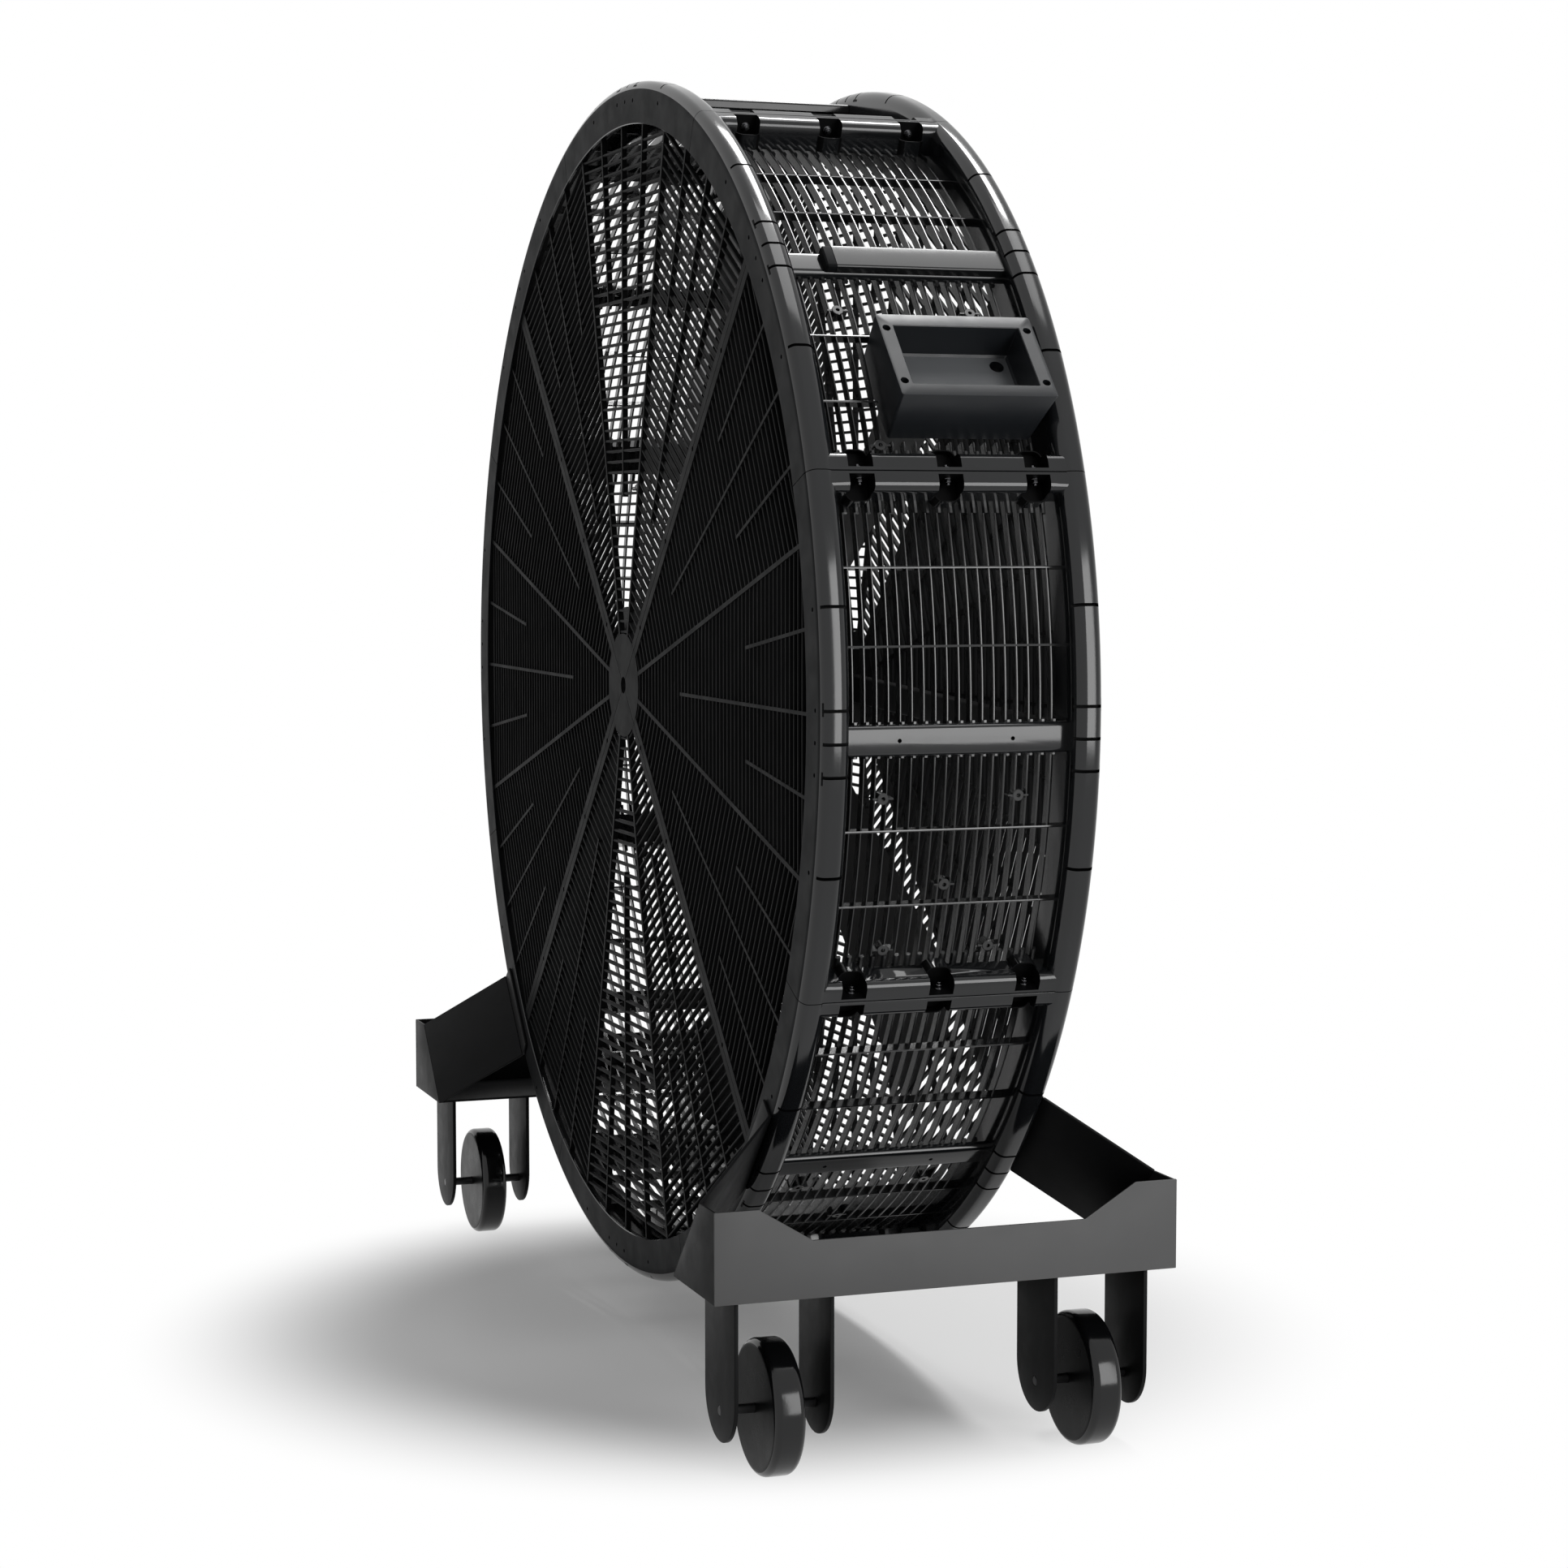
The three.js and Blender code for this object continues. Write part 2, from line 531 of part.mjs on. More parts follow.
const frameBody = segmentFrame();
const sideBody = sideGrille();
const openSideBody = sideBody.subtract(boxRoom(FIT));
const BOX_SEGMENT = 1;
for (let k = 0; k < SEGMENTS; k++) {
  const angle = DRUM_TURN + k * ARC;
  const panel = k === BOX_SEGMENT ? openSideBody : sideBody;
  drum.add(turned(mesh(`drum_segment_${k + 1}`, frameBody, DRUM_PLASTIC), angle));
  drum.add(turned(mesh(`side_grille_${k + 1}`, panel, GRILLE_PAINT), angle));
}
for (const [label, side] of [['front', -1], ['rear', 1]]) {
  const quarter = grilleQuarter(side);
  for (let q = 0; q < 4; q++) {
    drum.add(turned(mesh(`${label}_grille_${q + 1}`, quarter, GRILLE_PAINT), 90 * q));
  }
}
drum.add(turned(mesh('control_box', controlBox(), BOX_PAINT), DRUM_TURN + BOX_SEGMENT * ARC));
drum.add(turned(mesh('upper_rail', rail(), DRUM_PLASTIC), DRUM_TURN + ARC));
drum.add(turned(mesh('top_rail', rail(), DRUM_PLASTIC), DRUM_TURN + 2 * ARC));
drum.add(turned(mesh('motor_bridge', motorBridge(), TRAY_PAINT), DRUM_TURN));
drum.add(mesh('fan_motor', motor(), MOTOR_PAINT));
const shaft = cylinderY(SHAFT_R, HUB_FRONT - FIT, MOTOR_FRONT + SHAFT_GRIP, SMALL_STEPS);
drum.add(mesh('motor_shaft', shaft, STEEL));
drum.add(mesh('fan_hub', fanHub(), BLADE_PAINT));
for (let b = 0; b < BLADES; b++) {
  const item = mesh(`fan_blade_${b + 1}`, blade(), BLADE_PAINT);
  drum.add(turned(item, BLADE_FIRST + b * 360 / BLADES));
}

const trayBody = tray();
const forkBody = forkPlate();
const wheelBody = wheel();
const forkOffset = FORK_GAP / 2 + FORK_T / 2;
const axleHalf = forkOffset + FORK_T / 2 + FIT;
for (const [end, flip] of [['right', 0], ['left', 180]]) {
  const group = new THREE.Group();
  group.rotation.z = rad(flip);
  group.add(mesh(`${end}_tray`, trayBody, TRAY_PAINT));
  for (const way of [-1, 1]) {
    const corner = `${end}_${way * Math.cos(rad(flip)) < 0 ? 'front' : 'rear'}`;
    const place = (item, y, z) => {
      item.position.set(FORK_X, y, z);
      group.add(item);
    };
    place(mesh(`${corner}_fork_inner`, forkBody, FORK_PAINT), way * (FORK_Y - forkOffset), 0);
    place(mesh(`${corner}_fork_outer`, forkBody, FORK_PAINT), way * (FORK_Y + forkOffset), 0);
    const axle = cylinderY(AXLE_R, -axleHalf, axleHalf, SMALL_STEPS);
    place(mesh(`${corner}_axle`, axle, STEEL), way * FORK_Y, WHEEL_R);
    place(mesh(`${corner}_wheel`, wheelBody, RUBBER), way * FORK_Y, WHEEL_R);
  }
  fan.add(group);
}

export default fan;
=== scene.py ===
"""Large drum fan: the fine surfaces, materials, floor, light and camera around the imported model.

Shapes are drawn in millimetres. Pieces of the drum are drawn about +X, with X out from the
drum's axis, Y along it (the front is -Y) and Z along the rim, and are then turned into place.
"""
import json
import math

import bmesh
import bpy
from mathutils import Matrix, Vector


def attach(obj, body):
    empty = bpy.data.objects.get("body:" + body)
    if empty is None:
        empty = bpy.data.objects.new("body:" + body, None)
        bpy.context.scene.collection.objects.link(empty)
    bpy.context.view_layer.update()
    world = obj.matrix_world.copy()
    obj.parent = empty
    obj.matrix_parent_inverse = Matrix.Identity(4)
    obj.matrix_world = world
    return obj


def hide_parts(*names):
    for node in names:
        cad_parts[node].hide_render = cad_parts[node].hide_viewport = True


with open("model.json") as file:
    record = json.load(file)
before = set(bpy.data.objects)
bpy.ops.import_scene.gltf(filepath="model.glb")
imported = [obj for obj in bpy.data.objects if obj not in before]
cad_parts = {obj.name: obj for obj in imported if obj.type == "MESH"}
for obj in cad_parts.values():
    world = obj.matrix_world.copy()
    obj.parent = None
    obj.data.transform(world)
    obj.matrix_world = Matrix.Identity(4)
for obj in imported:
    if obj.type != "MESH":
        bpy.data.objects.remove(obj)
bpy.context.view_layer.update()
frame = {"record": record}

MM = 0.001
OVER = 1.0                        # how far a cutter reaches past what it cuts
NEAR = 0.1                        # how close to a surface its faces are looked for
HOLD = 1.0                        # from an edge to the point that keeps a face flat in shading
TIP_R = 1.0                       # the small end face of a turned shaft

# ---------- drum ----------
DRUM_R = 630.0
HALF = 136.5
AXIS_Z = 701.0
DRUM_TURN = -2.25
SEGMENTS = 8
ARC = 360 / SEGMENTS
SEAM = 0.4                        # half of the open line between two segments
FACE_R = 617.0                    # outer edge of the flat annulus
EYE_R = 586.5                     # its inner edge
EYE_LIP = 0.8
PLATE_T = 3.0
RIM_W = 28.5
RIM_WALL_R = 600.3
RIM_INNER = HALF - RIM_W
LIP_R = 580.0                     # inner wall of the rim, toward the axis
LIP_T = 2.0
BEAD_FRONT = 9.0                  # crest of the bead, from the face
BEAD_BACK = 17.0
RIM_STEPS = 40
BEND_STEPS = 8                    # steps of the bead's and the flange's curves
HOLE_R = 2.1                      # screw holes and notches
HOLE_AT = 610.5
HOLE_ANGLES = (0.0, -2.7, 2.7, -11.1, 11.1)
NOTCH_H = 3.0
NOTCH_FLOOR = 621.0
NOTCH_MARGIN = 2.0

FLANGE_TOP = 629.0
FLANGE_FLAT = 10.5                # where its outer edge begins to round off
FLANGE_FOOT = 18.5                # and where its face stands, both from the seam
FLANGE_REACH = RIM_INNER + 11     # its ends lie inside the rims
FLANGE_EDGE = 0.6                 # bevel along the seam
POCKET_R = 12.0                   # half its width along the drum's axis
POCKET_NEAR = 3.3                 # seam wall that the bolt goes through
POCKET_END = 23.9                 # its round end, from the seam
POCKET_ROUND = 8.0
POCKET_STEPS = 7
POCKET_PITCH = 85.5
POCKET_FLOOR = 607.0
POCKET_MOUTH = FLANGE_TOP - 2     # the faces of a pocket lie below this
CUP_WALL = 1.2                    # wall of the cup in which a pocket ends
CUP_TOP = 615.5
BOLT_AT = 616.5                   # seam bolts, in the pockets
BOLT_SHIFT = 1.5                  # toward the rear
BOLT_START = -0.5                 # inside the seam wall
BOLT_PARTS = ((4.6, 1.2, 24), (3.7, 4.4, 6), (2.0, 6.5, 16))    # radius, end and sides
BOLT_EDGE = 0.3
BAR_FACE = 608.3                  # crossbar
BAR_HALF = 14.35
BAR_ROUND = 5.5
BAR_STEPS = 6
BAR_HOLE_Y = 55.0
BAR_HOLE_R = 2.0

# ---------- side grille ----------
WIRES = 18
WIRE_PITCH = 11.4
WIRE_W = 2.0
WIRE_TOP = 600.0
WIRE_BOTTOM = 591.0
CROSS_AT = (-14.85, -8.0, 8.0, 14.85)
CROSS_W = 2.0
CROSS_RISE = (0.3, 0.1, 0.4)      # its foot, shoulder and crest, above those of the wires
HOOP_STEP = 1.8                   # degrees
SIDE_HALF = 127.9
SIDE_EDGE = 10.0
EDGE_BOTTOM = 596.8
STUB_W = 5.9                      # thick roots of the wires, set off toward the rear
STUB_OFFSET = 1.9
STUB_TOP = 602.0
STUB_L = 11.0
FOOT_L = 2.0                      # and the short feet at the crossbar
BOSS_AT = ((-5.1, -66.0), (-5.1, 66.0), (-13.0, 0.0), (-19.1, -52.0), (-19.1, 52.0))
BOSS_R = 5.5
BOSS_HOLE = 2.0
BOSS_RISE = 1.0                   # above the wires
BOSS_BEVEL = (0.5, 0.4)           # across and down
BOSS_SIDES = 20
TAB_REACH = 10.0                  # tabs of a boss
TAB_HALF = 0.8
TAB_BITE = 0.6
TAB_RISE = 0.3

# ---------- front and rear grille ----------
GUARD_R = 596.0
GUARD_FACE = 133.2
GUARD_T = 5.0                     # depth of its ring, spokes and hub plate
RING_W = 8.0
RING_STEPS = 45
SECTOR = 30.0                     # degrees
RIB_T = 5.6                       # depth of ribs and slats
RIB_END = 590.0
ROWS = 46
ROW_FIRST = 56.7
ROW_PITCH = 11.3
SLAT_W = 2.8
SLAT_EDGE = 0.7
SLAT_GAP = 0.5                    # from the ribs' middle
SLAT_SINK = 0.4                   # below the ribs' face
SPOKE_HALF = 9.0
RIB_RISE = 0.2                    # spokes, and ribs between two sectors, above other ribs
RIB_W = 4.6                       # ribs between two sectors of slats
PART_RIB_W = 3.4                  # ribs that stop short of the middle
PART_RIB_FROM = 200.0
SHORT_RIB_FROM = 410.0
SHORT_RIB_AT = 7.5
HUB_PLATE_R = 55.0
HUB_PLATE_RISE = 0.3
HUB_PLATE_STEPS = 16
HUB_PLATE_SPAN = 44.6             # degrees to each side
HUB_HOLE_R = 9.0
HUB_HOLE_STEPS = 6
HUB_HOLE_SPAN = 43.0
SPOKE_HOLES = (89.0, 217.0, 346.0, 475.0)
SPOKE_HOLE_R = 2.6

# ---------- control box and rails ----------
BOX_SEGMENT = 1
BOX_FACE = 626.0
BOX_Y = (-46.0, 107.0)
BOX_Z = (-190.5, -87.0)
BOX_DEPTH = 58.0
BOX_TAPER = 7.0
BOX_FLANGE = 14.5
BOX_RECESS = 36.0
BOX_CORNER = 3.0
BOX_INNER_CORNER = 1.2
BOX_EDGE = 0.7
BOX_DRAFT = 2.5                   # its foot is smaller by this on each side
RECESS_DRAFT = (1.0, 3.0)         # and its recess, above and below the fillet
RECESS_FILLET = 2.0
BOX_GAP = 2.0                     # between the box and the side wires cut short
BOX_GAP_ANGLE = 0.2
BOX_CLEAR = (1.0, 6.0)            # a boss this close to the gap or the box is left out
BOX_SCREWS_Y = (-39.0, 100.0)
BOX_SCREWS_Z = (-172.5, -105.0)
BOX_SCREW_R = 3.9
BOX_SCREW_DEPTH = 15.0
BOX_CABLE = (78.0, -116.0)
BOX_CABLE_R = 7.0
RAIL_TOP = 617.1
RAIL_BOTTOM = 608.6
RAIL_BEVEL = 2.6
RAIL_Y = (-61.0, 107.7)
RAIL_STEPS = 5
RAIL_CAP = 10.0
CAP_INSET = (0.4, 1.6)            # inside the rail's section, at its root and its tip
CAP_POINT = 1.5
CAP_GAP = 0.2

# ---------- rotor and motor ----------
MOTOR_Y = (57.0, 92.0)
MOTOR_R = 85.0
MOTOR_CORE_R = 80.0
MOTOR_NOSE = ((62.0, 0.0), (68.0, 2.0), (80.0, 9.0))    # radius and depth of its front edge
MOTOR_BACK = (76.0, 5.0)          # radius of its back and depth of the bevel there
MOTOR_FINS = 36
FIN_HALF = 1.5
FIN_BITE = 2.0
FIN_ENDS = (10.0, 6.0)            # where the fins stop, from the front and the back
BRIDGE_Y = (92.3, 107.3)
BRIDGE_HALF = 14.0
BRIDGE_GAP = 0.3
BRIDGE_ROUND = 2.0
SHAFT_R = 10.0
SHAFT_GRIP = 28.0                 # how deep it goes into the motor
SHAFT_NOSE = 8.0                  # its stepped front end
SHAFT_STEP = 1.0
SHAFT_FIT = 0.3                   # clearance of the bores round it
HUB_R = 60.0
HUB_Y = (25.0, 49.0)
HUB_BEVEL = 8.0
COLLAR_R = 24.0
COLLAR_H = 4.0
COLLAR_BEVEL = 2.0
HUB_BOLTS = 6
HUB_BOLT_AT = 38.0
HUB_BOLT_R = 5.0
TURNED_STEPS = 72
BLADE_TIP_R = 560.0
BLADE_CHORD = 150.0
BLADE_ROOT_CHORD = 66.0
BLADE_WIDENS = 1.0
BLADE_CAMBER = 6.0
BLADE_T = 4.0
BLADE_PITCH = (16.0, 8.0)
BLADE_FIRST = 36.0
BLADES = 5
BLADE_BITE = 1.0                  # how deep its root goes into the hub
BLADE_STEPS = (28, 12)            # along and across
BLADE_THIN = 0.15                 # least share of its thickness, at its edges
BLADE_TIP_FROM = 0.93             # share of its length where the tip's corners begin
BLADE_TIP_LOSS = 0.16             # share of its width that they take

# ---------- trays, forks and wheels ----------
SHEET = 3.0
TRAY_X = 600.6
TRAY_HALF = 227.8
TRAY_BASE = 174.9
TRAY_TOP = 259.4
TRAY_DIP = 31.3
DIP_HALF = 134.3
SHOULDER_HALF = 185.8
RETURN_TOP = 45.0
RETURN_FOOT = 124.5
CRADLE_R = 620.0
CRADLE_AT = (-37.5, -48.2)
CRADLE_TAB = 20.0
CRADLE_GAP = 0.3
CRADLE_BEND = 1.5                 # the arm's middle plane at the rim, from its face
SHEET_EDGE = 0.7                  # rounding of the trays' edges
SHEET_INSET, BASE_INSET, TOP_INSET = 0.5, 0.2, 0.3      # sheets that end inside others
WHEEL_R = 63.5
WHEEL_HALF = 15.0
WHEEL_ROUND = 7.0
WHEEL_LAND = 1.0                  # flat of its side before the rounding
WHEEL_SIDE = 0.5                  # how far the side's finish goes round the edge
WHEEL_STEPS = (96, 9)             # round it and along a rounded edge
AXLE_R = 4.7
AXLE_FIT = 0.3
AXLE_EDGE = 0.7
AXLE_END = 0.3                    # past the fork
FORK_X = 544.0
FORK_Y = 156.8
FORK_OFFSET = 46.0
FORK_T = 4.0
FORK_HALF = 43.0
FORK_END = 35.0
FORK_GAP = 0.3                    # to the tray
FORK_EDGE = 0.5
FORK_STEPS = 36

BASE_BODY = "drum_and_base"


# ---------- mesh helpers ----------
class Form:
    """Closed shells in millimetres."""

    def __init__(self):
        self.points, self.faces = [], []

    def add(self, shell, matrix=None):
        points, faces = shell
        start = len(self.points)
        if matrix is not None:
            points = [matrix @ Vector(p) for p in points]
        self.points += [tuple(p) for p in points]
        self.faces += [[i + start for i in face] for face in faces]
        return self

    def mesh(self, name="form"):
        data = bpy.data.meshes.new(name)
        data.from_pydata([Vector(p) * MM for p in self.points], [], self.faces)
        work = bmesh.new()
        work.from_mesh(data)
        bmesh.ops.recalc_face_normals(work, faces=work.faces)
        work.to_mesh(data)
        work.free()
        return data


def one(shell, name="form"):
    return Form().add(shell).mesh(name)


def loft(loops, closed=False):
    """A shell through loops of the same number of points, capped unless it closes on itself."""
    count = len(loops[0])
    points = [p for loop in loops for p in loop]
    faces = []
    for i in range(len(loops) if closed else len(loops) - 1):
        a, b = i * count, (i + 1) % len(loops) * count
        for j in range(count):
            k = (j + 1) % count
            faces.append([a + j, a + k, b + k, b + j])
    if not closed:
        faces.append(list(range(count)))
        faces.append([len(points) - 1 - j for j in range(count)])
    return points, faces


def polar(out, across, degrees):
    c, s = math.cos(math.radians(degrees)), math.sin(math.radians(degrees))
    return out * c - across * s, out * s + across * c


def turned(degrees):
    """A turn about the drum's axis, from +X toward +Z."""
    return Matrix.Rotation(-math.radians(degrees), 4, "Y")


def prism(section, y0, y1):
    """A section of (x, z) points swept along Y."""
    return loft([[(x, y, z) for x, z in section] for y in (y0, y1)])


def block(x0, x1, y0, y1, z0, z1):
    return prism([(x0, z0), (x1, z0), (x1, z1), (x0, z1)], y0, y1)


def bow(profile, start, end, steps):
    """A profile of (radius, y) points swept about the Y axis from one angle to another."""
    loops = []
    for i in range(steps + 1):
        angle = start + (end - start) * i / steps
        loops.append([(polar(r, 0, angle)[0], y, polar(r, 0, angle)[1]) for r, y in profile])
    return loft(loops)


def wheel_of(profile, steps):
    """A closed profile of (radius, y) points turned all the way round."""
    loops = []
    for i in range(steps):
        angle = 360 * i / steps
        loops.append([(polar(r, 0, angle)[0], y, polar(r, 0, angle)[1]) for r, y in profile])
    return loft(loops, closed=True)


def disc_stack(profile, steps):
    """A solid of revolution about Y whose profile runs from near the axis back to near it."""
    loops = []
    for r, y in profile:
        ring = [polar(r, 0, 360 * i / steps) for i in range(steps)]
        loops.append([(x, y, z) for x, z in ring])
    return loft(loops)


def arc(centre, radii, start, end, steps):
    """Points of an ellipse arc; the angle runs from the first axis toward the second."""
    points = []
    for i in range(steps + 1):
        angle = math.radians(start + (end - start) * i / steps)
        points.append((centre[0] + radii[0] * math.cos(angle),
                       centre[1] + radii[1] * math.sin(angle)))
    return points


def rounded(a0, a1, b0, b1, radius, steps=5):
    """A rounded rectangle of (a, b) points."""
    points = []
    for (a, b), start in (((a1, b1), 0), ((a0, b1), 90), ((a0, b0), 180), ((a1, b0), 270)):
        centre = (a - radius if a == a1 else a + radius, b - radius if b == b1 else b + radius)
        points += arc(centre, (radius, radius), start, start + 90, steps)
    return points


def rod(radius, start, end, steps=16):
    """A cylinder between two points."""
    start, end = Vector(start), Vector(end)
    turn = (end - start).to_track_quat("Z", "Y").to_matrix().to_4x4()
    place = Matrix.Translation(start) @ turn
    length = (end - start).length
    ring = arc((0, 0), (radius, radius), 0, 360, steps)[:-1]
    loops = [[tuple(place @ Vector((x, y, z))) for x, y in ring] for z in (0, length)]
    return loft(loops)


def combine(data, other, operation):
    """The mesh after a boolean with another mesh."""
    first = bpy.data.objects.new("first", data)
    second = bpy.data.objects.new("second", other)
    for item in (first, second):
        bpy.context.scene.collection.objects.link(item)
    step = first.modifiers.new("step", "BOOLEAN")
    step.operation, step.object, step.solver = operation, second, "EXACT"
    graph = bpy.context.evaluated_depsgraph_get()
    result = bpy.data.meshes.new_from_object(first.evaluated_get(graph))
    for item in (first, second):
        bpy.data.objects.remove(item)
    return result


def soften(data, width, angle=35, segments=2):
    """Rounds every edge sharper than the angle."""
    work = bmesh.new()
    work.from_mesh(data)
    limit = math.radians(angle)
    edges = [e for e in work.edges if len(e.link_faces) == 2 and e.calc_face_angle() > limit]
    bmesh.ops.bevel(work, geom=edges, offset=width * MM, segments=segments, affect="EDGES",
                    profile=0.5, clamp_overlap=True)
    work.to_mesh(data)
    work.free()
    return data


def shade(data, angle=32):
    """Smooth shading, with edges sharper than the angle kept."""
    data.shade_smooth()
    data.set_sharp_from_angle(angle=math.radians(angle))
    return data


# ---------- materials ----------
GRAIN_HEIGHT = 0.06               # height of the grain as a share of its size
PATCH_SIZE = 0.4                  # size of the patches as a share of the clouds'
NOISE_SPAN = (0.3, 0.7)           # the part of a noise's range that is used
CLOUD_DETAIL, PATCH_DETAIL, GRAIN_DETAIL = 4, 6, 2


def finish(name, colour, roughness, specular=0.5, metallic=0.0, cloud=0.12, cloud_size=0.06,
           grain_size=0.004, grain=0.15, patch=0.05):
    """A finish with cloudy colour, patches of other roughness and a fine grain."""
    item = bpy.data.materials.new(name)
    item.use_nodes = True
    nodes, links = item.node_tree.nodes, item.node_tree.links
    shader = nodes["Principled BSDF"]
    shader.inputs["Metallic"].default_value = metallic
    shader.inputs["Specular IOR Level"].default_value = specular
    place = nodes.new("ShaderNodeTexCoord").outputs["Object"]

    def noise(size, detail):
        texture = nodes.new("ShaderNodeTexNoise")
        texture.inputs["Scale"].default_value = 1 / size
        texture.inputs["Detail"].default_value = detail
        links.new(place, texture.inputs["Vector"])
        return texture.outputs["Fac"]

    tones = nodes.new("ShaderNodeValToRGB")
    for stop, spot, share in zip(tones.color_ramp.elements, NOISE_SPAN, (1 - cloud, 1 + cloud)):
        stop.position = spot
        stop.color = [c * share for c in colour] + [1]
    links.new(noise(cloud_size, CLOUD_DETAIL), tones.inputs["Fac"])
    links.new(tones.outputs["Color"], shader.inputs["Base Color"])

    rough = nodes.new("ShaderNodeMapRange")
    rough.inputs["From Min"].default_value, rough.inputs["From Max"].default_value = NOISE_SPAN
    rough.inputs["To Min"].default_value = roughness - patch
    rough.inputs["To Max"].default_value = roughness + patch
    links.new(noise(cloud_size * PATCH_SIZE, PATCH_DETAIL), rough.inputs["Value"])
    links.new(rough.outputs["Result"], shader.inputs["Roughness"])

    bump = nodes.new("ShaderNodeBump")
    bump.inputs["Strength"].default_value = grain
    bump.inputs["Distance"].default_value = grain_size * GRAIN_HEIGHT
    links.new(noise(grain_size, GRAIN_DETAIL), bump.inputs["Height"])
    links.new(bump.outputs["Normal"], shader.inputs["Normal"])
    return item


drum_gloss = finish("drum_gloss", (0.0075, 0.0082, 0.0092), 0.12, specular=0.42, patch=0.02,
                    grain=0.04)
drum_matt = finish("drum_matt", (0.0068, 0.0072, 0.0078), 0.5, specular=0.035, grain=0.3,
                   grain_size=0.0015)
# painted shade: pockets and notches are near black and barely glossy, for the shade inside them
recess_painted_shade = finish("recess_painted_shade", (0.003, 0.003, 0.0032), 0.5, specular=0.05)
rail_gloss = finish("rail_gloss", (0.0070, 0.0073, 0.0078), 0.15, specular=0.3, patch=0.03,
                    grain=0.05)
guard_paint = finish("guard_paint", (0.0065, 0.0067, 0.0070), 0.5, specular=0.03)
wire_paint = finish("wire_paint", (0.0060, 0.0063, 0.0068), 0.2, specular=0.6)
tray_powder = finish("tray_powder", (0.100, 0.1003, 0.101), 0.55, specular=0.3, cloud=0.05,
                     cloud_size=0.12, grain_size=0.0009, grain=0.5)
# the motor bridge's own dark paint, and painted shade on the trays' inner faces, arms and edges
bridge_paint_and_tray_shade = finish("bridge_paint_and_tray_shade", (0.0065, 0.0066, 0.0070), 0.5, specular=0.08, grain_size=0.0009,
                   grain=0.5)
fork_paint = finish("fork_paint", (0.0085, 0.0087, 0.0090), 0.45, specular=0.06)
box_paint = finish("box_paint", (0.0125, 0.0140, 0.0165), 0.36, specular=0.3, cloud=0.06)
# painted light: the recess bed is paler than the box's paint, standing for the reflection of the
# lamp above
painted_light_box_bed = finish("painted_light_box_bed", (0.130, 0.136, 0.142), 0.45, specular=0.3, cloud=0.06)
wheel_tread = finish("wheel_tread", (0.0045, 0.0047, 0.0052), 0.13, specular=0.35, patch=0.03)
wheel_side = finish("wheel_side", (0.0045, 0.0047, 0.005), 0.3, specular=0.06)
dark_steel = finish("dark_steel", (0.02, 0.02, 0.021), 0.35, metallic=0.6)
bolt_steel = finish("bolt_steel", (0.11, 0.11, 0.115), 0.25, metallic=1.0, cloud=0.1,
                    cloud_size=0.01)
motor_paint = finish("motor_paint", (0.0080, 0.0080, 0.0085), 0.5, specular=0.2)
blade_paint = finish("blade_paint", (0.0035, 0.0035, 0.0038), 0.45, specular=0.06)

# ---------- placing ----------
body_of = {}
for body, members in frame["record"]["behaviour"]["bodies"].items():
    for member in members:
        body_of[member] = body


def piece(name, data, paints, nodes, place=None, turn=None):
    """An object that stands for CAD nodes, in place and riding with them."""
    item = bpy.data.objects.new(name, data)
    bpy.context.scene.collection.objects.link(item)
    if not data.materials:
        for paint in paints:
            data.materials.append(paint)
    if turn is not None:
        item.rotation_euler.y = -math.radians(turn)
    if place is not None:
        item.location = Vector(place) * MM
    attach(item, body_of[nodes[0]] if nodes else BASE_BODY)
    if nodes:
        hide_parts(*nodes)


def on_drum(name, data, paints, nodes, turn):
    piece(name, data, paints, nodes, (0, 0, AXIS_Z), turn)


def paint_faces(data, index, test):
    """Gives the faces that pass the test another of the mesh's materials."""
    for face in data.polygons:
        if test(face):
            face.material_index = index


# ---------- drum segment ----------
def rim_profile(side):
    """A rim's section."""
    points = [(EYE_R, PLATE_T), (EYE_R, EYE_LIP), (EYE_R + EYE_LIP, 0)]
    points += [(FACE_R - HOLD, 0), (FACE_R, 0)]
    bead = DRUM_R - FACE_R
    points += arc((FACE_R, BEAD_FRONT), (bead, BEAD_FRONT), -90, 0, BEND_STEPS)[1:]
    points += arc((FACE_R, BEAD_BACK), (bead, RIM_W - BEAD_BACK), 0, 90, BEND_STEPS)
    points += [(LIP_R, RIM_W), (LIP_R, RIM_W - LIP_T), (RIM_WALL_R, RIM_W - LIP_T)]
    points += [(RIM_WALL_R, 2 * PLATE_T), (RIM_WALL_R - PLATE_T, PLATE_T)]
    return [(r, side * (HALF - t)) for r, t in points]


def flange(side):
    """The bolted flange at one end of a segment, rounded on the window's side."""
    def at(r, u):
        return polar(r, -side * u, side * ARC / 2)

    section = [at(RIM_WALL_R, SEAM), at(FLANGE_TOP - FLANGE_EDGE, SEAM),
               at(FLANGE_TOP, SEAM + FLANGE_EDGE), at(FLANGE_TOP, FLANGE_FLAT - HOLD / 2)]
    edge = FLANGE_FOOT - FLANGE_FLAT
    bend = arc((FLANGE_TOP - edge, FLANGE_FLAT), (edge, edge), 0, 90, BEND_STEPS)
    section += [at(r, u) for r, u in bend]
    section += [at(RIM_WALL_R, FLANGE_FOOT)]
    return one(prism(section, -FLANGE_REACH, FLANGE_REACH))


def pocket(side, y, grow, r0, r1):
    """A column: square at the seam, with round corners on the window's side."""
    half, bend = POCKET_R + grow, POCKET_ROUND + grow
    corner = POCKET_END - POCKET_ROUND
    outline = [(y - half, POCKET_NEAR), (y + half, POCKET_NEAR)]
    outline += arc((y + half - bend, corner), (bend, bend), 0, 90, POCKET_STEPS)
    outline += arc((y - half + bend, corner), (bend, bend), 90, 180, POCKET_STEPS)
    loops = []
    for r in (r0, r1):
        loop = []
        for py, u in outline:
            x, z = polar(r, -side * u, side * ARC / 2)
            loop.append((x, py, z))
        loops.append(loop)
    return loft(loops)


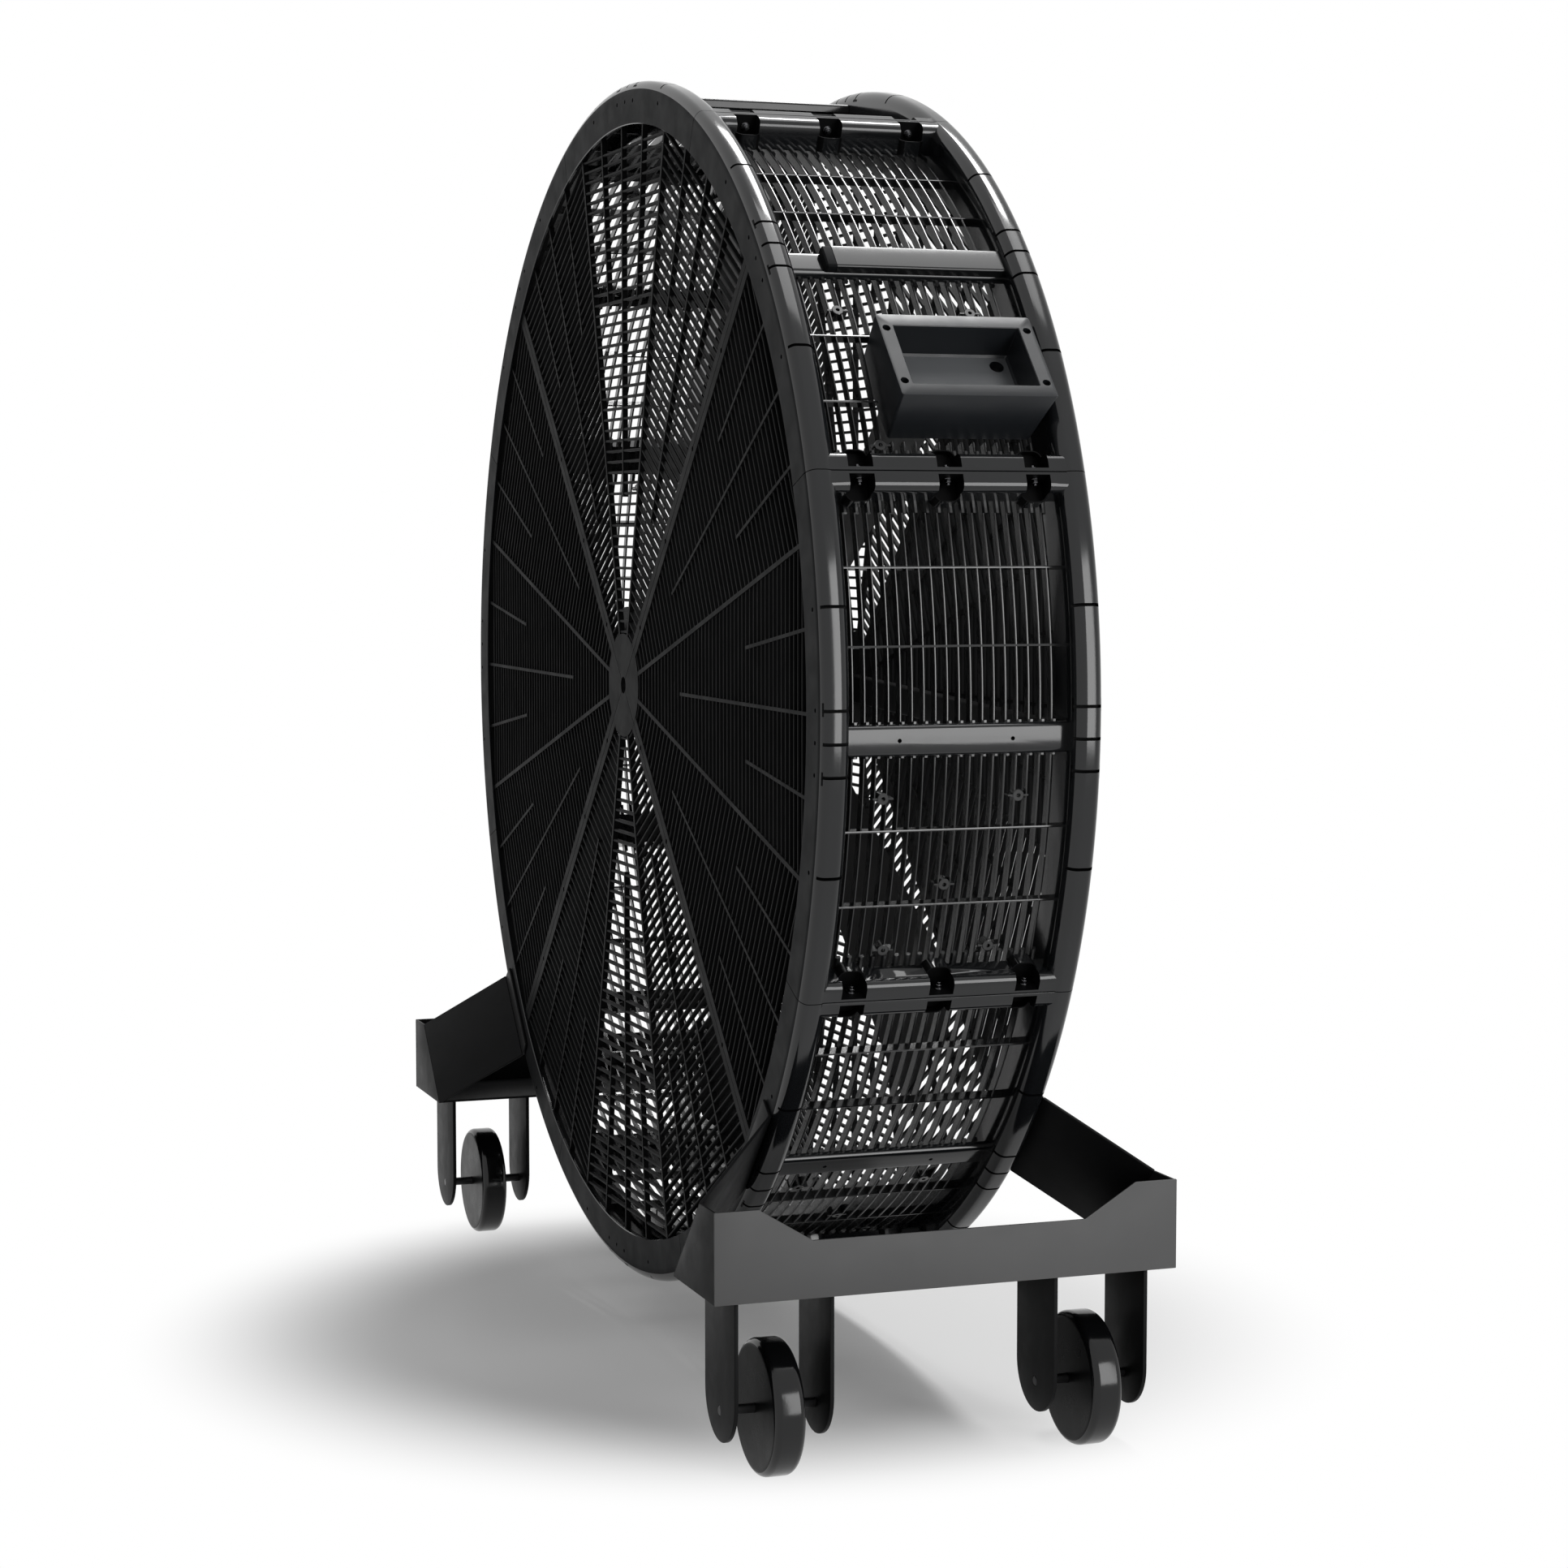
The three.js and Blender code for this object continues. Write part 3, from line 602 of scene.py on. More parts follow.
def drum_segment():
    """One of the eight moulded segments, about +X, with its holes, notches and pockets cut."""
    span = ARC / 2 - math.degrees(SEAM / FACE_R)
    data = one(bow(rim_profile(-1), -span, span, RIM_STEPS))
    data = combine(data, one(bow(rim_profile(1), -span, span, RIM_STEPS)), "UNION")
    cuts = Form()
    for side in (-1, 1):
        data = combine(data, flange(side), "UNION")
        for n in (-1, 0, 1):
            y = n * POCKET_PITCH
            cup = one(pocket(side, y, CUP_WALL, RIM_WALL_R, CUP_TOP))
            data = combine(data, cup, "UNION")
            cuts.add(pocket(side, y, 0, POCKET_FLOOR, DRUM_R + 2 * OVER))
    edge = BAR_ROUND
    bar = [(RIM_WALL_R, -BAR_HALF)]
    bar += arc((BAR_FACE - edge, -BAR_HALF + edge), (edge, edge), -90, 0, BAR_STEPS)
    bar += arc((BAR_FACE - edge, BAR_HALF - edge), (edge, edge), 0, 90, BAR_STEPS)
    bar += [(RIM_WALL_R, BAR_HALF)]
    data = combine(data, one(prism(bar, -RIM_INNER - OVER, RIM_INNER + OVER)), "UNION")
    for angle in HOLE_ANGLES:
        x, z = polar(HOLE_AT, 0, angle)
        for way in (-1, 1):
            cuts.add(rod(HOLE_R, (x, way * (HALF + OVER), z),
                         (x, way * (HALF - PLATE_T - OVER), z)))
            y0, y1 = sorted((way * (HALF - NOTCH_MARGIN), way * (RIM_INNER - OVER)))
            notch = block(NOTCH_FLOOR, DRUM_R + 2 * OVER, y0, y1, -NOTCH_H / 2, NOTCH_H / 2)
            cuts.add(notch, turned(angle))
    for y in (-BAR_HOLE_Y, BAR_HOLE_Y):
        cuts.add(rod(BAR_HOLE_R, (RIM_WALL_R - OVER, y, 0), (BAR_FACE + OVER, y, 0)))
    data = combine(data, cuts.mesh(), "DIFFERENCE")
    data.materials.clear()
    for paint in (drum_gloss, drum_matt, recess_painted_shade):
        data.materials.append(paint)
    flat = (HALF - EYE_LIP) * MM
    paint_faces(data, 1, lambda f: abs(f.normal.y) > 0.9 and abs(f.center.y) > flat)
    # faces lining the pockets and notches get the painted shade
    paint_faces(data, 2, lambda f: in_pocket(f) or in_notch(f))
    return shade(data)


def in_pocket(face):
    """Whether a face of the segment lines one of its bolt pockets."""
    x, y, z = face.center / MM
    side = 1 if z > 0 else -1
    r, across = polar(x, z, -side * ARC / 2)
    from_middle = min(abs(y - n * POCKET_PITCH) for n in (-1, 0, 1))
    deep = POCKET_FLOOR - NEAR < r < POCKET_MOUTH
    inside = POCKET_NEAR - NEAR < -side * across < POCKET_END + NEAR
    return deep and inside and from_middle < POCKET_R + NEAR / 2


def seam_bolts():
    """Hexagon bolts in the pockets, lying along the rim and biting the seam wall."""
    form = Form()
    for k in range(SEGMENTS):
        for side in (-1, 1):
            angle = DRUM_TURN + k * ARC + side * ARC / 2
            for n in (-1, 0, 1):
                y = n * POCKET_PITCH + BOLT_SHIFT

                def at(u):
                    x, z = polar(BOLT_AT, -side * (POCKET_NEAR + u), angle)
                    return x, y, z

                start = BOLT_START
                for radius, end, sides in BOLT_PARTS:
                    form.add(rod(radius, at(start), at(end), sides))
                    start = end
    return shade(soften(form.mesh("seam_bolts"), BOLT_EDGE, segments=1))


def in_notch(face):
    """Whether a face of the segment lines one of the notches in its beads."""
    x, y, z = face.center / MM
    across = min(abs(polar(x, z, -angle)[1]) for angle in HOLE_ANGLES)
    deep = math.hypot(x, z) > NOTCH_FLOOR - NEAR
    inside = RIM_INNER < abs(y) < HALF - NOTCH_MARGIN + NEAR
    return deep and inside and across < NOTCH_H / 2 + NEAR / 2


# ---------- side grille ----------
def hoop(y, width, bottom, top, start, end):
    """A wire that follows the rim, with a rounded outer edge."""
    half = width / 2
    shoulder, crest = top - half * 0.7, half * 0.4
    section = [(bottom, y - half), (shoulder, y - half), (top, y - crest), (top, y + crest),
               (shoulder, y + half), (bottom, y + half)]
    return bow(section, start, end, max(2, round((end - start) / HOOP_STEP)))


def side_grille(box_cut):
    """One window's wires; where the control box is let in, they stop short of it."""
    form = Form()
    limit = ARC / 2 - math.degrees(SEAM / WIRE_TOP)
    box_angles = [math.degrees(math.asin(z / WIRE_TOP)) for z in BOX_Z]
    gap = (box_angles[0] - BOX_GAP_ANGLE, box_angles[1] + BOX_GAP_ANGLE)

    def spans(y):
        if box_cut and BOX_Y[0] - BOX_GAP < y < BOX_Y[1] + BOX_GAP:
            return ((-limit, gap[0]), (gap[1], limit))
        return ((-limit, limit),)

    edge = SIDE_EDGE / 2
    for y in (-SIDE_HALF + edge, SIDE_HALF - edge):
        form.add(hoop(y, SIDE_EDGE, EDGE_BOTTOM, WIRE_TOP, -limit, limit))
    stub = math.degrees(STUB_L / WIRE_TOP)
    end_foot = math.degrees(FOOT_L / WIRE_TOP)
    foot = math.degrees(FLANGE_FOOT / WIRE_TOP)
    bar = math.degrees(BAR_HALF / WIRE_TOP)
    for i in range(WIRES):
        y = (i - (WIRES - 1) / 2) * WIRE_PITCH
        for start, end in spans(y):
            form.add(hoop(y, WIRE_W, WIRE_BOTTOM, WIRE_TOP, start, end))
        for start, end in ((limit - foot - stub, limit), (-limit, -limit + foot + stub),
                           (-bar - end_foot, bar + end_foot)):
            form.add(hoop(y + STUB_OFFSET, STUB_W, EDGE_BOTTOM, STUB_TOP, start, end))
    low, shoulder = WIRE_BOTTOM + CROSS_RISE[0], WIRE_TOP + CROSS_RISE[1]
    cross = [(low, -CROSS_W / 2), (shoulder, -CROSS_W / 2), (WIRE_TOP + CROSS_RISE[2], 0),
             (shoulder, CROSS_W / 2), (low, CROSS_W / 2)]
    for angle in CROSS_AT:
        cut = box_cut and gap[0] < angle < gap[1]
        reach = BOX_Y[0] - BOX_GAP / 2 if cut else SIDE_HALF
        form.add(prism(cross, -SIDE_HALF, reach), turned(angle))
    for side in (-1, 1):
        section = [polar(r, -side * u, side * ARC / 2) for r, u in
                   ((EDGE_BOTTOM, SEAM), (WIRE_TOP, SEAM), (WIRE_TOP, SIDE_EDGE),
                    (EDGE_BOTTOM, SIDE_EDGE))]
        form.add(prism(section, -SIDE_HALF, SIDE_HALF))
    for angle, y in BOSS_AT:
        along = gap[0] - BOX_CLEAR[0] < angle < gap[1] + BOX_CLEAR[0]
        across = BOX_Y[0] - BOX_CLEAR[1] < y < BOX_Y[1] + BOX_CLEAR[1]
        if not (box_cut and along and across):
            add_boss(form, angle, y)
    return shade(form.mesh("side_grille"))


def add_boss(form, angle, y):
    """A screw boss: a ring on two tabs that reach the next wires."""
    turn = turned(angle)
    place = turn @ Matrix.Translation((0, y, 0)) @ Matrix.Rotation(math.radians(-90), 4, "Z")
    top = WIRE_TOP + BOSS_RISE
    ring = [(BOSS_HOLE, WIRE_BOTTOM), (BOSS_R, WIRE_BOTTOM), (BOSS_R, top - BOSS_BEVEL[1]),
            (BOSS_R - BOSS_BEVEL[0], top), (BOSS_HOLE, top)]
    form.add(wheel_of(ring, BOSS_SIDES), place)
    for way in (-1, 1):
        y0, y1 = sorted((y + way * (BOSS_R - TAB_BITE), y + way * TAB_REACH))
        form.add(block(WIRE_BOTTOM, WIRE_TOP + TAB_RISE, y0, y1, -TAB_HALF, TAB_HALF), turn)


# ---------- front and rear grille ----------
def strip(x0, x1, z0, z1, y0, y1, direction):
    """A straight bar in the grille's plane, drawn along +X and turned to a direction."""
    turn = turned(direction)
    points, faces = block(x0, x1, y0, y1, z0, z1)
    return [turn @ Vector(p) for p in points], faces


def slat(distance, reach, y0, y1, direction):
    """One straight slat across a sector, with its front edges taken off."""
    half, edge = SLAT_W / 2, SLAT_EDGE
    section = [(-half, y1), (-half, y0 + edge), (-half + edge, y0), (half - edge, y0),
               (half, y0 + edge), (half, y1)]
    turn = turned(direction)
    loops = []
    for z in (-reach, reach):
        loops.append([turn @ Vector((distance + d, y, z)) for d, y in section])
    return loft(loops)


def add_sector(form, direction):
    """A sector of slats, with its middle rib and the short ribs beside it."""
    face, deep = -GUARD_FACE, -GUARD_FACE + RIB_T
    slope = math.tan(math.radians(SECTOR / 2))
    for row in range(ROWS):
        distance = ROW_FIRST + ROW_PITCH * row
        form.add(slat(distance, distance * slope - SLAT_GAP, face + SLAT_SINK,
                      deep - SLAT_SINK, direction))
    half = PART_RIB_W / 2
    for start, off in ((PART_RIB_FROM, 0), (SHORT_RIB_FROM, -SHORT_RIB_AT),
                       (SHORT_RIB_FROM, SHORT_RIB_AT)):
        form.add(strip(start, RIB_END, -half, half, face, deep, direction + off))


def guard_spokes():
    """The two half spokes along a quarter's seams, with their screw holes."""
    face, back = -GUARD_FACE, -GUARD_FACE + GUARD_T
    start = HUB_PLATE_R - 2 * OVER
    spokes, holes = Form(), Form()
    for side in (-1, 1):
        section = [polar(r, -side * u, side * 45) for r, u in
                   ((start, SEAM), (RIB_END, SEAM), (RIB_END, SPOKE_HALF), (start, SPOKE_HALF))]
        spokes.add(prism(section, face - RIB_RISE, back))
        for r in SPOKE_HOLES:
            x, z = polar(r, 0, side * 45)
            holes.add(rod(SPOKE_HOLE_R, (x, face - OVER, z), (x, back + OVER, z)))
    return combine(spokes.mesh(), holes.mesh(), "DIFFERENCE")


def guard_quarter():
    """A quarter of the front grille about +X, in three sectors of slats."""
    face, back, deep = -GUARD_FACE, -GUARD_FACE + GUARD_T, -GUARD_FACE + RIB_T
    form = Form()
    for s in (-1, 0, 1):
        add_sector(form, s * SECTOR)
    for side in (-1, 1):
        form.add(strip(HUB_PLATE_R - 2 * OVER, RIB_END, -RIB_W / 2, RIB_W / 2, face - RIB_RISE,
                       deep, side * SECTOR / 2))
    limit = 45 - math.degrees(SEAM / GUARD_R)
    inner = GUARD_R - RING_W
    form.add(bow([(inner, face), (GUARD_R, face), (GUARD_R, back), (inner, back)], -limit, limit,
                 RING_STEPS))
    hub = [polar(HUB_PLATE_R, 0, HUB_PLATE_SPAN * (2 * i / HUB_PLATE_STEPS - 1))
           for i in range(HUB_PLATE_STEPS + 1)]
    hub += [polar(HUB_HOLE_R, 0, HUB_HOLE_SPAN * (1 - 2 * i / HUB_HOLE_STEPS))
            for i in range(HUB_HOLE_STEPS + 1)]
    form.add(prism(hub, face - HUB_PLATE_RISE, back))
    whole = bmesh.new()
    data = form.mesh("guard_quarter")
    whole.from_mesh(data)
    whole.from_mesh(guard_spokes())
    whole.to_mesh(data)
    whole.free()
    return shade(data)


def mirrored(data):
    """The same mesh for the other face of the drum."""
    other = data.copy()
    other.transform(Matrix.Diagonal((1, -1, 1, 1)))
    other.flip_normals()
    return other


# ---------- control box and rails ----------
def control_box():
    """The open box: a flat flange round a recess; its bed is painted paler, as painted light."""
    y0, y1 = BOX_Y
    z0, z1 = BOX_Z
    m, edge, corner, inner = BOX_FLANGE, BOX_EDGE, BOX_CORNER, BOX_INNER_CORNER

    def loop(x, grow, radius, back=0.0):
        ring = rounded(y0 - grow, y1 + grow - back, z0 - grow, z1 + grow, radius)
        return [(x, y, z) for y, z in ring]

    bed = BOX_FACE - BOX_RECESS
    loops = [loop(BOX_FACE - BOX_DEPTH, -BOX_DRAFT, corner, BOX_TAPER),
             loop(BOX_FACE - edge, 0, corner), loop(BOX_FACE - edge * 0.3, -edge * 0.3, corner),
             loop(BOX_FACE, -edge, corner), loop(BOX_FACE, -m + edge, inner + edge),
             loop(BOX_FACE - edge, -m, inner),
             loop(bed + RECESS_FILLET, -m - RECESS_DRAFT[0], inner),
             loop(bed, -m - RECESS_DRAFT[1], inner)]
    data = one(loft(loops))
    cuts = Form()
    for y in BOX_SCREWS_Y:
        for z in BOX_SCREWS_Z:
            cuts.add(rod(BOX_SCREW_R, (BOX_FACE - BOX_SCREW_DEPTH, y, z),
                         (BOX_FACE + OVER, y, z), 24))
    cy, cz = BOX_CABLE
    cuts.add(rod(BOX_CABLE_R, (BOX_FACE - BOX_DEPTH - OVER, cy, cz), (BOX_FACE, cy, cz), 32))
    data = combine(data, cuts.mesh(), "DIFFERENCE")
    data.materials.clear()
    for paint in (box_paint, painted_light_box_bed):
        data.materials.append(paint)
    # the recess bed gets the paler finish: painted light
    paint_faces(data, 1, lambda f: f.normal.x > 0.99 and abs(f.center.x - bed * MM) < MM)
    return shade(data)


def rail_section(trim=0.0):
    """A bar with a flat foot and two rounded upper edges."""
    half, bevel = BAR_HALF - trim, RAIL_BEVEL
    top = RAIL_TOP - trim
    section = [(RAIL_BOTTOM, -half)]
    section += arc((top - bevel, -half + bevel), (bevel, bevel), -90, 0, RAIL_STEPS)
    section += arc((top - bevel, half - bevel), (bevel, bevel), 0, 90, RAIL_STEPS)
    return section + [(RAIL_BOTTOM, half)]


def rail():
    return shade(one(prism(rail_section(), *RAIL_Y), "rail"))


def rail_cap():
    """The dark plug in the rail's open end, drawn in toward its tip."""
    y = RAIL_Y[0]
    root, tip = (rail_section(inset) for inset in CAP_INSET)
    loops = [[(x, y - CAP_GAP, z) for x, z in root],
             [(x, y - RAIL_CAP + CAP_POINT, z) for x, z in root],
             [(x, y - RAIL_CAP, z) for x, z in tip]]
    return shade(one(loft(loops), "rail_cap"))


# ---------- rotor and motor ----------
def blade():
    """A twisted, cambered blade with a rounded leading and trailing edge at the tip."""
    root = HUB_R - BLADE_BITE
    length = BLADE_TIP_R - root
    steps, across_steps = BLADE_STEPS
    loops = []
    for i in range(steps + 1):
        along = i / steps
        widened = min(1.0, along / BLADE_WIDENS)
        width = BLADE_ROOT_CHORD + (BLADE_CHORD - BLADE_ROOT_CHORD) * widened
        ending = max(0.0, (along - BLADE_TIP_FROM) / (1 - BLADE_TIP_FROM))
        width *= 1 - BLADE_TIP_LOSS * ending ** 2
        pitch = math.radians(BLADE_PITCH[0] + (BLADE_PITCH[1] - BLADE_PITCH[0]) * along)
        upper, lower = [], []
        for j in range(across_steps + 1):
            across = j / across_steps - 0.5
            camber = BLADE_CAMBER * (1 - (2 * across) ** 2) * along
            thick = BLADE_T / 2 * max(BLADE_THIN, 1 - (2 * across) ** 4)
            for side, line in ((1, upper), (-1, lower)):
                height = camber + side * thick
                chord = across * width
                line.append((root + along * length,
                             height * math.cos(pitch) + chord * math.sin(pitch)
                             + (HUB_Y[0] + HUB_Y[1]) / 2,
                             chord * math.cos(pitch) - height * math.sin(pitch)))
        loops.append(upper + lower[::-1])
    return shade(one(loft(loops), "fan_blade"), 50)


def fan_hub():
    """A disc with a collar on its front, and bolts round the collar."""
    form = Form()
    y0, y1 = HUB_Y
    bore, front = SHAFT_R + SHAFT_FIT, y0 - COLLAR_H
    form.add(wheel_of([(bore, front), (COLLAR_R - COLLAR_BEVEL, front),
                       (COLLAR_R, front + COLLAR_BEVEL), (COLLAR_R, y0), (HUB_R - HUB_BEVEL, y0),
                       (HUB_R, y0 + HUB_BEVEL), (HUB_R, y1), (bore, y1)], TURNED_STEPS))
    for i in range(HUB_BOLTS):
        x, z = polar(HUB_BOLT_AT, 0, 360 / HUB_BOLTS * i)
        form.add(rod(HUB_BOLT_R, (x, front, z), (x, y0 + OVER, z), 6))
    return shade(form.mesh("fan_hub"))


def motor():
    """A short, wide motor with cooling fins."""
    y0, y1 = MOTOR_Y
    form = Form()
    bore = SHAFT_R + SHAFT_FIT
    back_r, bevel = MOTOR_BACK
    profile = [(bore, y0)] + [(r, y0 + depth) for r, depth in MOTOR_NOSE]
    profile += [(MOTOR_CORE_R, y1 - bevel), (back_r, y1), (bore, y1)]
    form.add(wheel_of(profile, TURNED_STEPS))
    for i in range(MOTOR_FINS):
        fin = block(MOTOR_CORE_R - FIN_BITE, MOTOR_R, y0 + FIN_ENDS[0], y1 - FIN_ENDS[1],
                    -FIN_HALF, FIN_HALF)
        form.add(fin, turned(-360 * i / MOTOR_FINS))
    return shade(form.mesh("fan_motor"))


def motor_bridge():
    ring = rounded(*BRIDGE_Y, -BRIDGE_HALF, BRIDGE_HALF, BRIDGE_ROUND, 3)
    reach = RIM_WALL_R - BRIDGE_GAP
    loops = [[(x, y, z) for y, z in ring] for x in (-reach, reach)]
    return shade(one(loft(loops), "motor_bridge"))


def motor_shaft():
    y0, y1 = HUB_Y[0] - SHAFT_FIT, MOTOR_Y[0] + SHAFT_GRIP
    front, step = y0 - SHAFT_NOSE, SHAFT_STEP
    profile = [(TIP_R, front), (SHAFT_R - 2 * step, front), (SHAFT_R - step, front + step),
               (SHAFT_R, y0 + step), (SHAFT_R, y1), (TIP_R, y1)]
    return shade(one(disc_stack(profile, 40), "motor_shaft"))


# ---------- trays, forks and wheels ----------
def slab(corners, offset):
    """A plate with the given corners, swept by an offset."""
    shift = Vector(offset)
    return loft([[tuple(p) for p in corners], [tuple(Vector(p) + shift) for p in corners]])


def tray(flip):
    """The right tray, or the left one when flipped about Z."""
    base, top = TRAY_BASE, TRAY_TOP
    inner = TRAY_X - RETURN_FOOT
    outline = [(-TRAY_HALF, base), (TRAY_HALF, base), (TRAY_HALF, top), (SHOULDER_HALF, top),
               (DIP_HALF, top - TRAY_DIP), (-DIP_HALF, top - TRAY_DIP), (-SHOULDER_HALF, top),
               (-TRAY_HALF, top)]
    form = Form()
    form.add(slab([(TRAY_X - SHEET, y, z) for y, z in outline], (SHEET, 0, 0)))
    outer, half = TRAY_X - SHEET_INSET, TRAY_HALF - SHEET_INSET
    form.add(block(inner, outer, -half, half, base + BASE_INSET, base + SHEET))
    side = [(inner, base), (outer, base), (outer, top - TOP_INSET),
            (TRAY_X - RETURN_TOP, top - TOP_INSET)]
    for way in (-1, 1):
        y0, y1 = sorted((way * (TRAY_HALF - SHEET), way * (TRAY_HALF - BASE_INSET)))
        form.add(prism(side, y0, y1))
        add_arm(form, way)
    data = soften(form.mesh("tray"), SHEET_EDGE, 40)
    for paint in (tray_powder, bridge_paint_and_tray_shade):
        data.materials.append(paint)
    # every face but the end plate's outer face gets the dark finish: painted shade
    front = (TRAY_X - SHEET / 3) * MM
    paint_faces(data, 1, lambda f: not (f.normal.x > 0.3 and f.center.x > front))
    if flip:
        data.transform(Matrix.Rotation(math.pi, 4, "Z"))
    return shade(data)


def add_arm(form, way):
    """A cradle arm from the return's slanted edge to a tab on the drum's annulus."""
    y_rim = way * (HALF + CRADLE_GAP)

    def on_rim(degrees, r):
        x, z = polar(r, 0, degrees)
        return Vector((x, y_rim, z + AXIS_Z))

    upper, lower = (on_rim(a, CRADLE_R) for a in CRADLE_AT)
    edge_y = way * (TRAY_HALF - SHEET / 2)
    foot_top = Vector((TRAY_X - RETURN_TOP, edge_y, TRAY_TOP - TOP_INSET))
    foot = Vector((TRAY_X - RETURN_FOOT, edge_y, TRAY_BASE + BASE_INSET))
    normal = (foot_top - upper).cross(lower - upper).normalized() * SHEET
    face = [p - normal / 2 for p in (foot_top, foot, lower, upper)]
    for point in face[2:]:
        point.y = way * max(abs(point.y), HALF + CRADLE_GAP + CRADLE_BEND)
    form.add(slab(face, normal))
    tab = [upper, lower, on_rim(CRADLE_AT[1], CRADLE_R - CRADLE_TAB),
           on_rim(CRADLE_AT[0], CRADLE_R - CRADLE_TAB)]
    form.add(slab(tab, (0, way * SHEET, 0)))


def fork_plate():
    """A flat plate with a round lower end and the axle's hole, about the wheel's centre."""
    centre = FORK_END + FORK_HALF
    outline = [(FORK_HALF, TRAY_BASE - FORK_GAP), (-FORK_HALF, TRAY_BASE - FORK_GAP)]
    outline += arc((0, centre), (FORK_HALF, FORK_HALF), 180, 360, FORK_STEPS)
    data = soften(one(prism(outline, -FORK_T / 2, FORK_T / 2), "fork"), FORK_EDGE, 50)
    hole = one(rod(AXLE_R + AXLE_FIT, (0, -FORK_T, WHEEL_R), (0, FORK_T, WHEEL_R), 32))
    return shade(combine(data, hole, "DIFFERENCE"), 25)


def wheel():
    """A solid wheel with rounded edges."""
    half, edge = WHEEL_HALF, WHEEL_ROUND
    flat, bore = WHEEL_R - edge - WHEEL_LAND, AXLE_R + AXLE_FIT
    centre = (half - edge, WHEEL_R - edge)
    round_steps, edge_steps = WHEEL_STEPS
    profile = [(bore, -half), (flat, -half)]
    profile += [(r, -y) for y, r in arc(centre, (edge, edge), 0, 90, edge_steps)]
    profile += [(r, y) for y, r in arc(centre, (edge, edge), 90, 0, edge_steps)]
    profile += [(flat, half), (bore, half)]
    data = one(wheel_of(profile, round_steps), "wheel")
    for paint in (wheel_tread, wheel_side):
        data.materials.append(paint)
    side = (half - WHEEL_SIDE) * MM
    paint_faces(data, 1, lambda f: abs(f.center.y) > side)
    return shade(data, 28)


def axle():
    """A plain axle through both fork plates, with bevelled ends."""
    end, edge = FORK_OFFSET + FORK_T / 2 + AXLE_END, AXLE_EDGE
    profile = [(TIP_R, -end), (AXLE_R - edge, -end), (AXLE_R, -end + edge),
               (AXLE_R, end - edge), (AXLE_R - edge, end), (TIP_R, end)]
    return shade(one(disc_stack(profile, 32), "axle"))


# ---------- building the object ----------
def build_drum():
    segment = drum_segment()
    plain, cut = side_grille(False), side_grille(True)
    for k in range(SEGMENTS):
        turn = DRUM_TURN + k * ARC
        name = f"drum_segment_{k + 1}"
        on_drum(f"moulded_{name}", segment, (), (name,), turn)
        wires = cut if k == BOX_SEGMENT else plain
        name = f"side_grille_{k + 1}"
        on_drum(f"wire_{name}", wires, (wire_paint,), (name,), turn)
    quarter = guard_quarter()
    for end, data in (("front", quarter), ("rear", mirrored(quarter))):
        for q in range(4):
            name = f"{end}_grille_{q + 1}"
            on_drum(f"web_{name}", data, (guard_paint,), (name,), 90 * q)
    box_turn = DRUM_TURN + BOX_SEGMENT * ARC
    on_drum("open_control_box", control_box(), (), ("control_box",), box_turn)
    bar, cap = rail(), rail_cap()
    for name, turn in (("upper_rail", box_turn), ("top_rail", box_turn + ARC)):
        on_drum(f"grab_{name}", bar, (rail_gloss,), (name,), turn)
        on_drum(f"{name}_end_cap", cap, (drum_matt,), (), turn)
    on_drum("seam_bolts", seam_bolts(), (bolt_steel,), (), 0)


def build_rotor():
    on_drum("finned_motor", motor(), (motor_paint,), ("fan_motor",), 0)
    on_drum("rear_motor_bridge", motor_bridge(), (bridge_paint_and_tray_shade,), ("motor_bridge",),
            DRUM_TURN)
    on_drum("turned_shaft", motor_shaft(), (dark_steel,), ("motor_shaft",), 0)
    on_drum("bolted_hub", fan_hub(), (blade_paint,), ("fan_hub",), 0)
    shape = blade()
    for b in range(BLADES):
        name = f"fan_blade_{b + 1}"
        on_drum(f"twisted_{name}", shape, (blade_paint,), (name,),
                BLADE_FIRST + b * 360 / BLADES)


def build_base():
    fork, tyre, pin = fork_plate(), wheel(), axle()
    for end, way_x in (("right", 1), ("left", -1)):
        piece(f"bent_{end}_tray", tray(way_x < 0), (), (f"{end}_tray",))
        for row, way_y in (("front", -1), ("rear", 1)):
            corner = f"{end}_{row}"
            x, y = way_x * FORK_X, way_y * FORK_Y
            for label, off in (("inner", -FORK_OFFSET), ("outer", FORK_OFFSET)):
                piece(f"plate_{corner}_fork_{label}", fork, (fork_paint,),
                      (f"{corner}_fork_{label}",), (x, y + way_y * off, 0))
            piece(f"turned_{corner}_axle", pin, (dark_steel,), (f"{corner}_axle",),
                  (x, y, WHEEL_R))
            piece(f"tyred_{corner}_wheel", tyre, (), (f"{corner}_wheel",),
                  (x, y, WHEEL_R))


# ---------- floor, light and camera ----------
FLOOR_SIZE = 60.0
FLOOR_COLOUR = 0.75
FLOOR_GLOW = 0.13
FLOOR_FADE = (0.36, 0.68)         # metres from the middle: shadow, then plain backdrop
WORLD_LEVEL = 0.3
CAMERA_PLACE = (3.2495, -1.0893, 0.8616)
CAMERA_AZIMUTH = 70.71
CAMERA_ELEVATION = 4.50
LENS = 72.905
SENSOR = 36.0
# Softboxes: place, the point they face, width, height and radiance.
SOFTBOXES = {
    "overhead_back": ((-1.1, 1.25, 4.3), (-1.1, 1.25, 0), 2.0, 0.55, 24),
    "overhead_soft": ((0.7, 0.9, 4.4), (0.7, 0.9, 0), 1.6, 1.8, 3.6),
    "right_side": ((4.2, 1.6, 1.2), (0, 0, 1.2), 1.3, 2.6, 6.4),
}


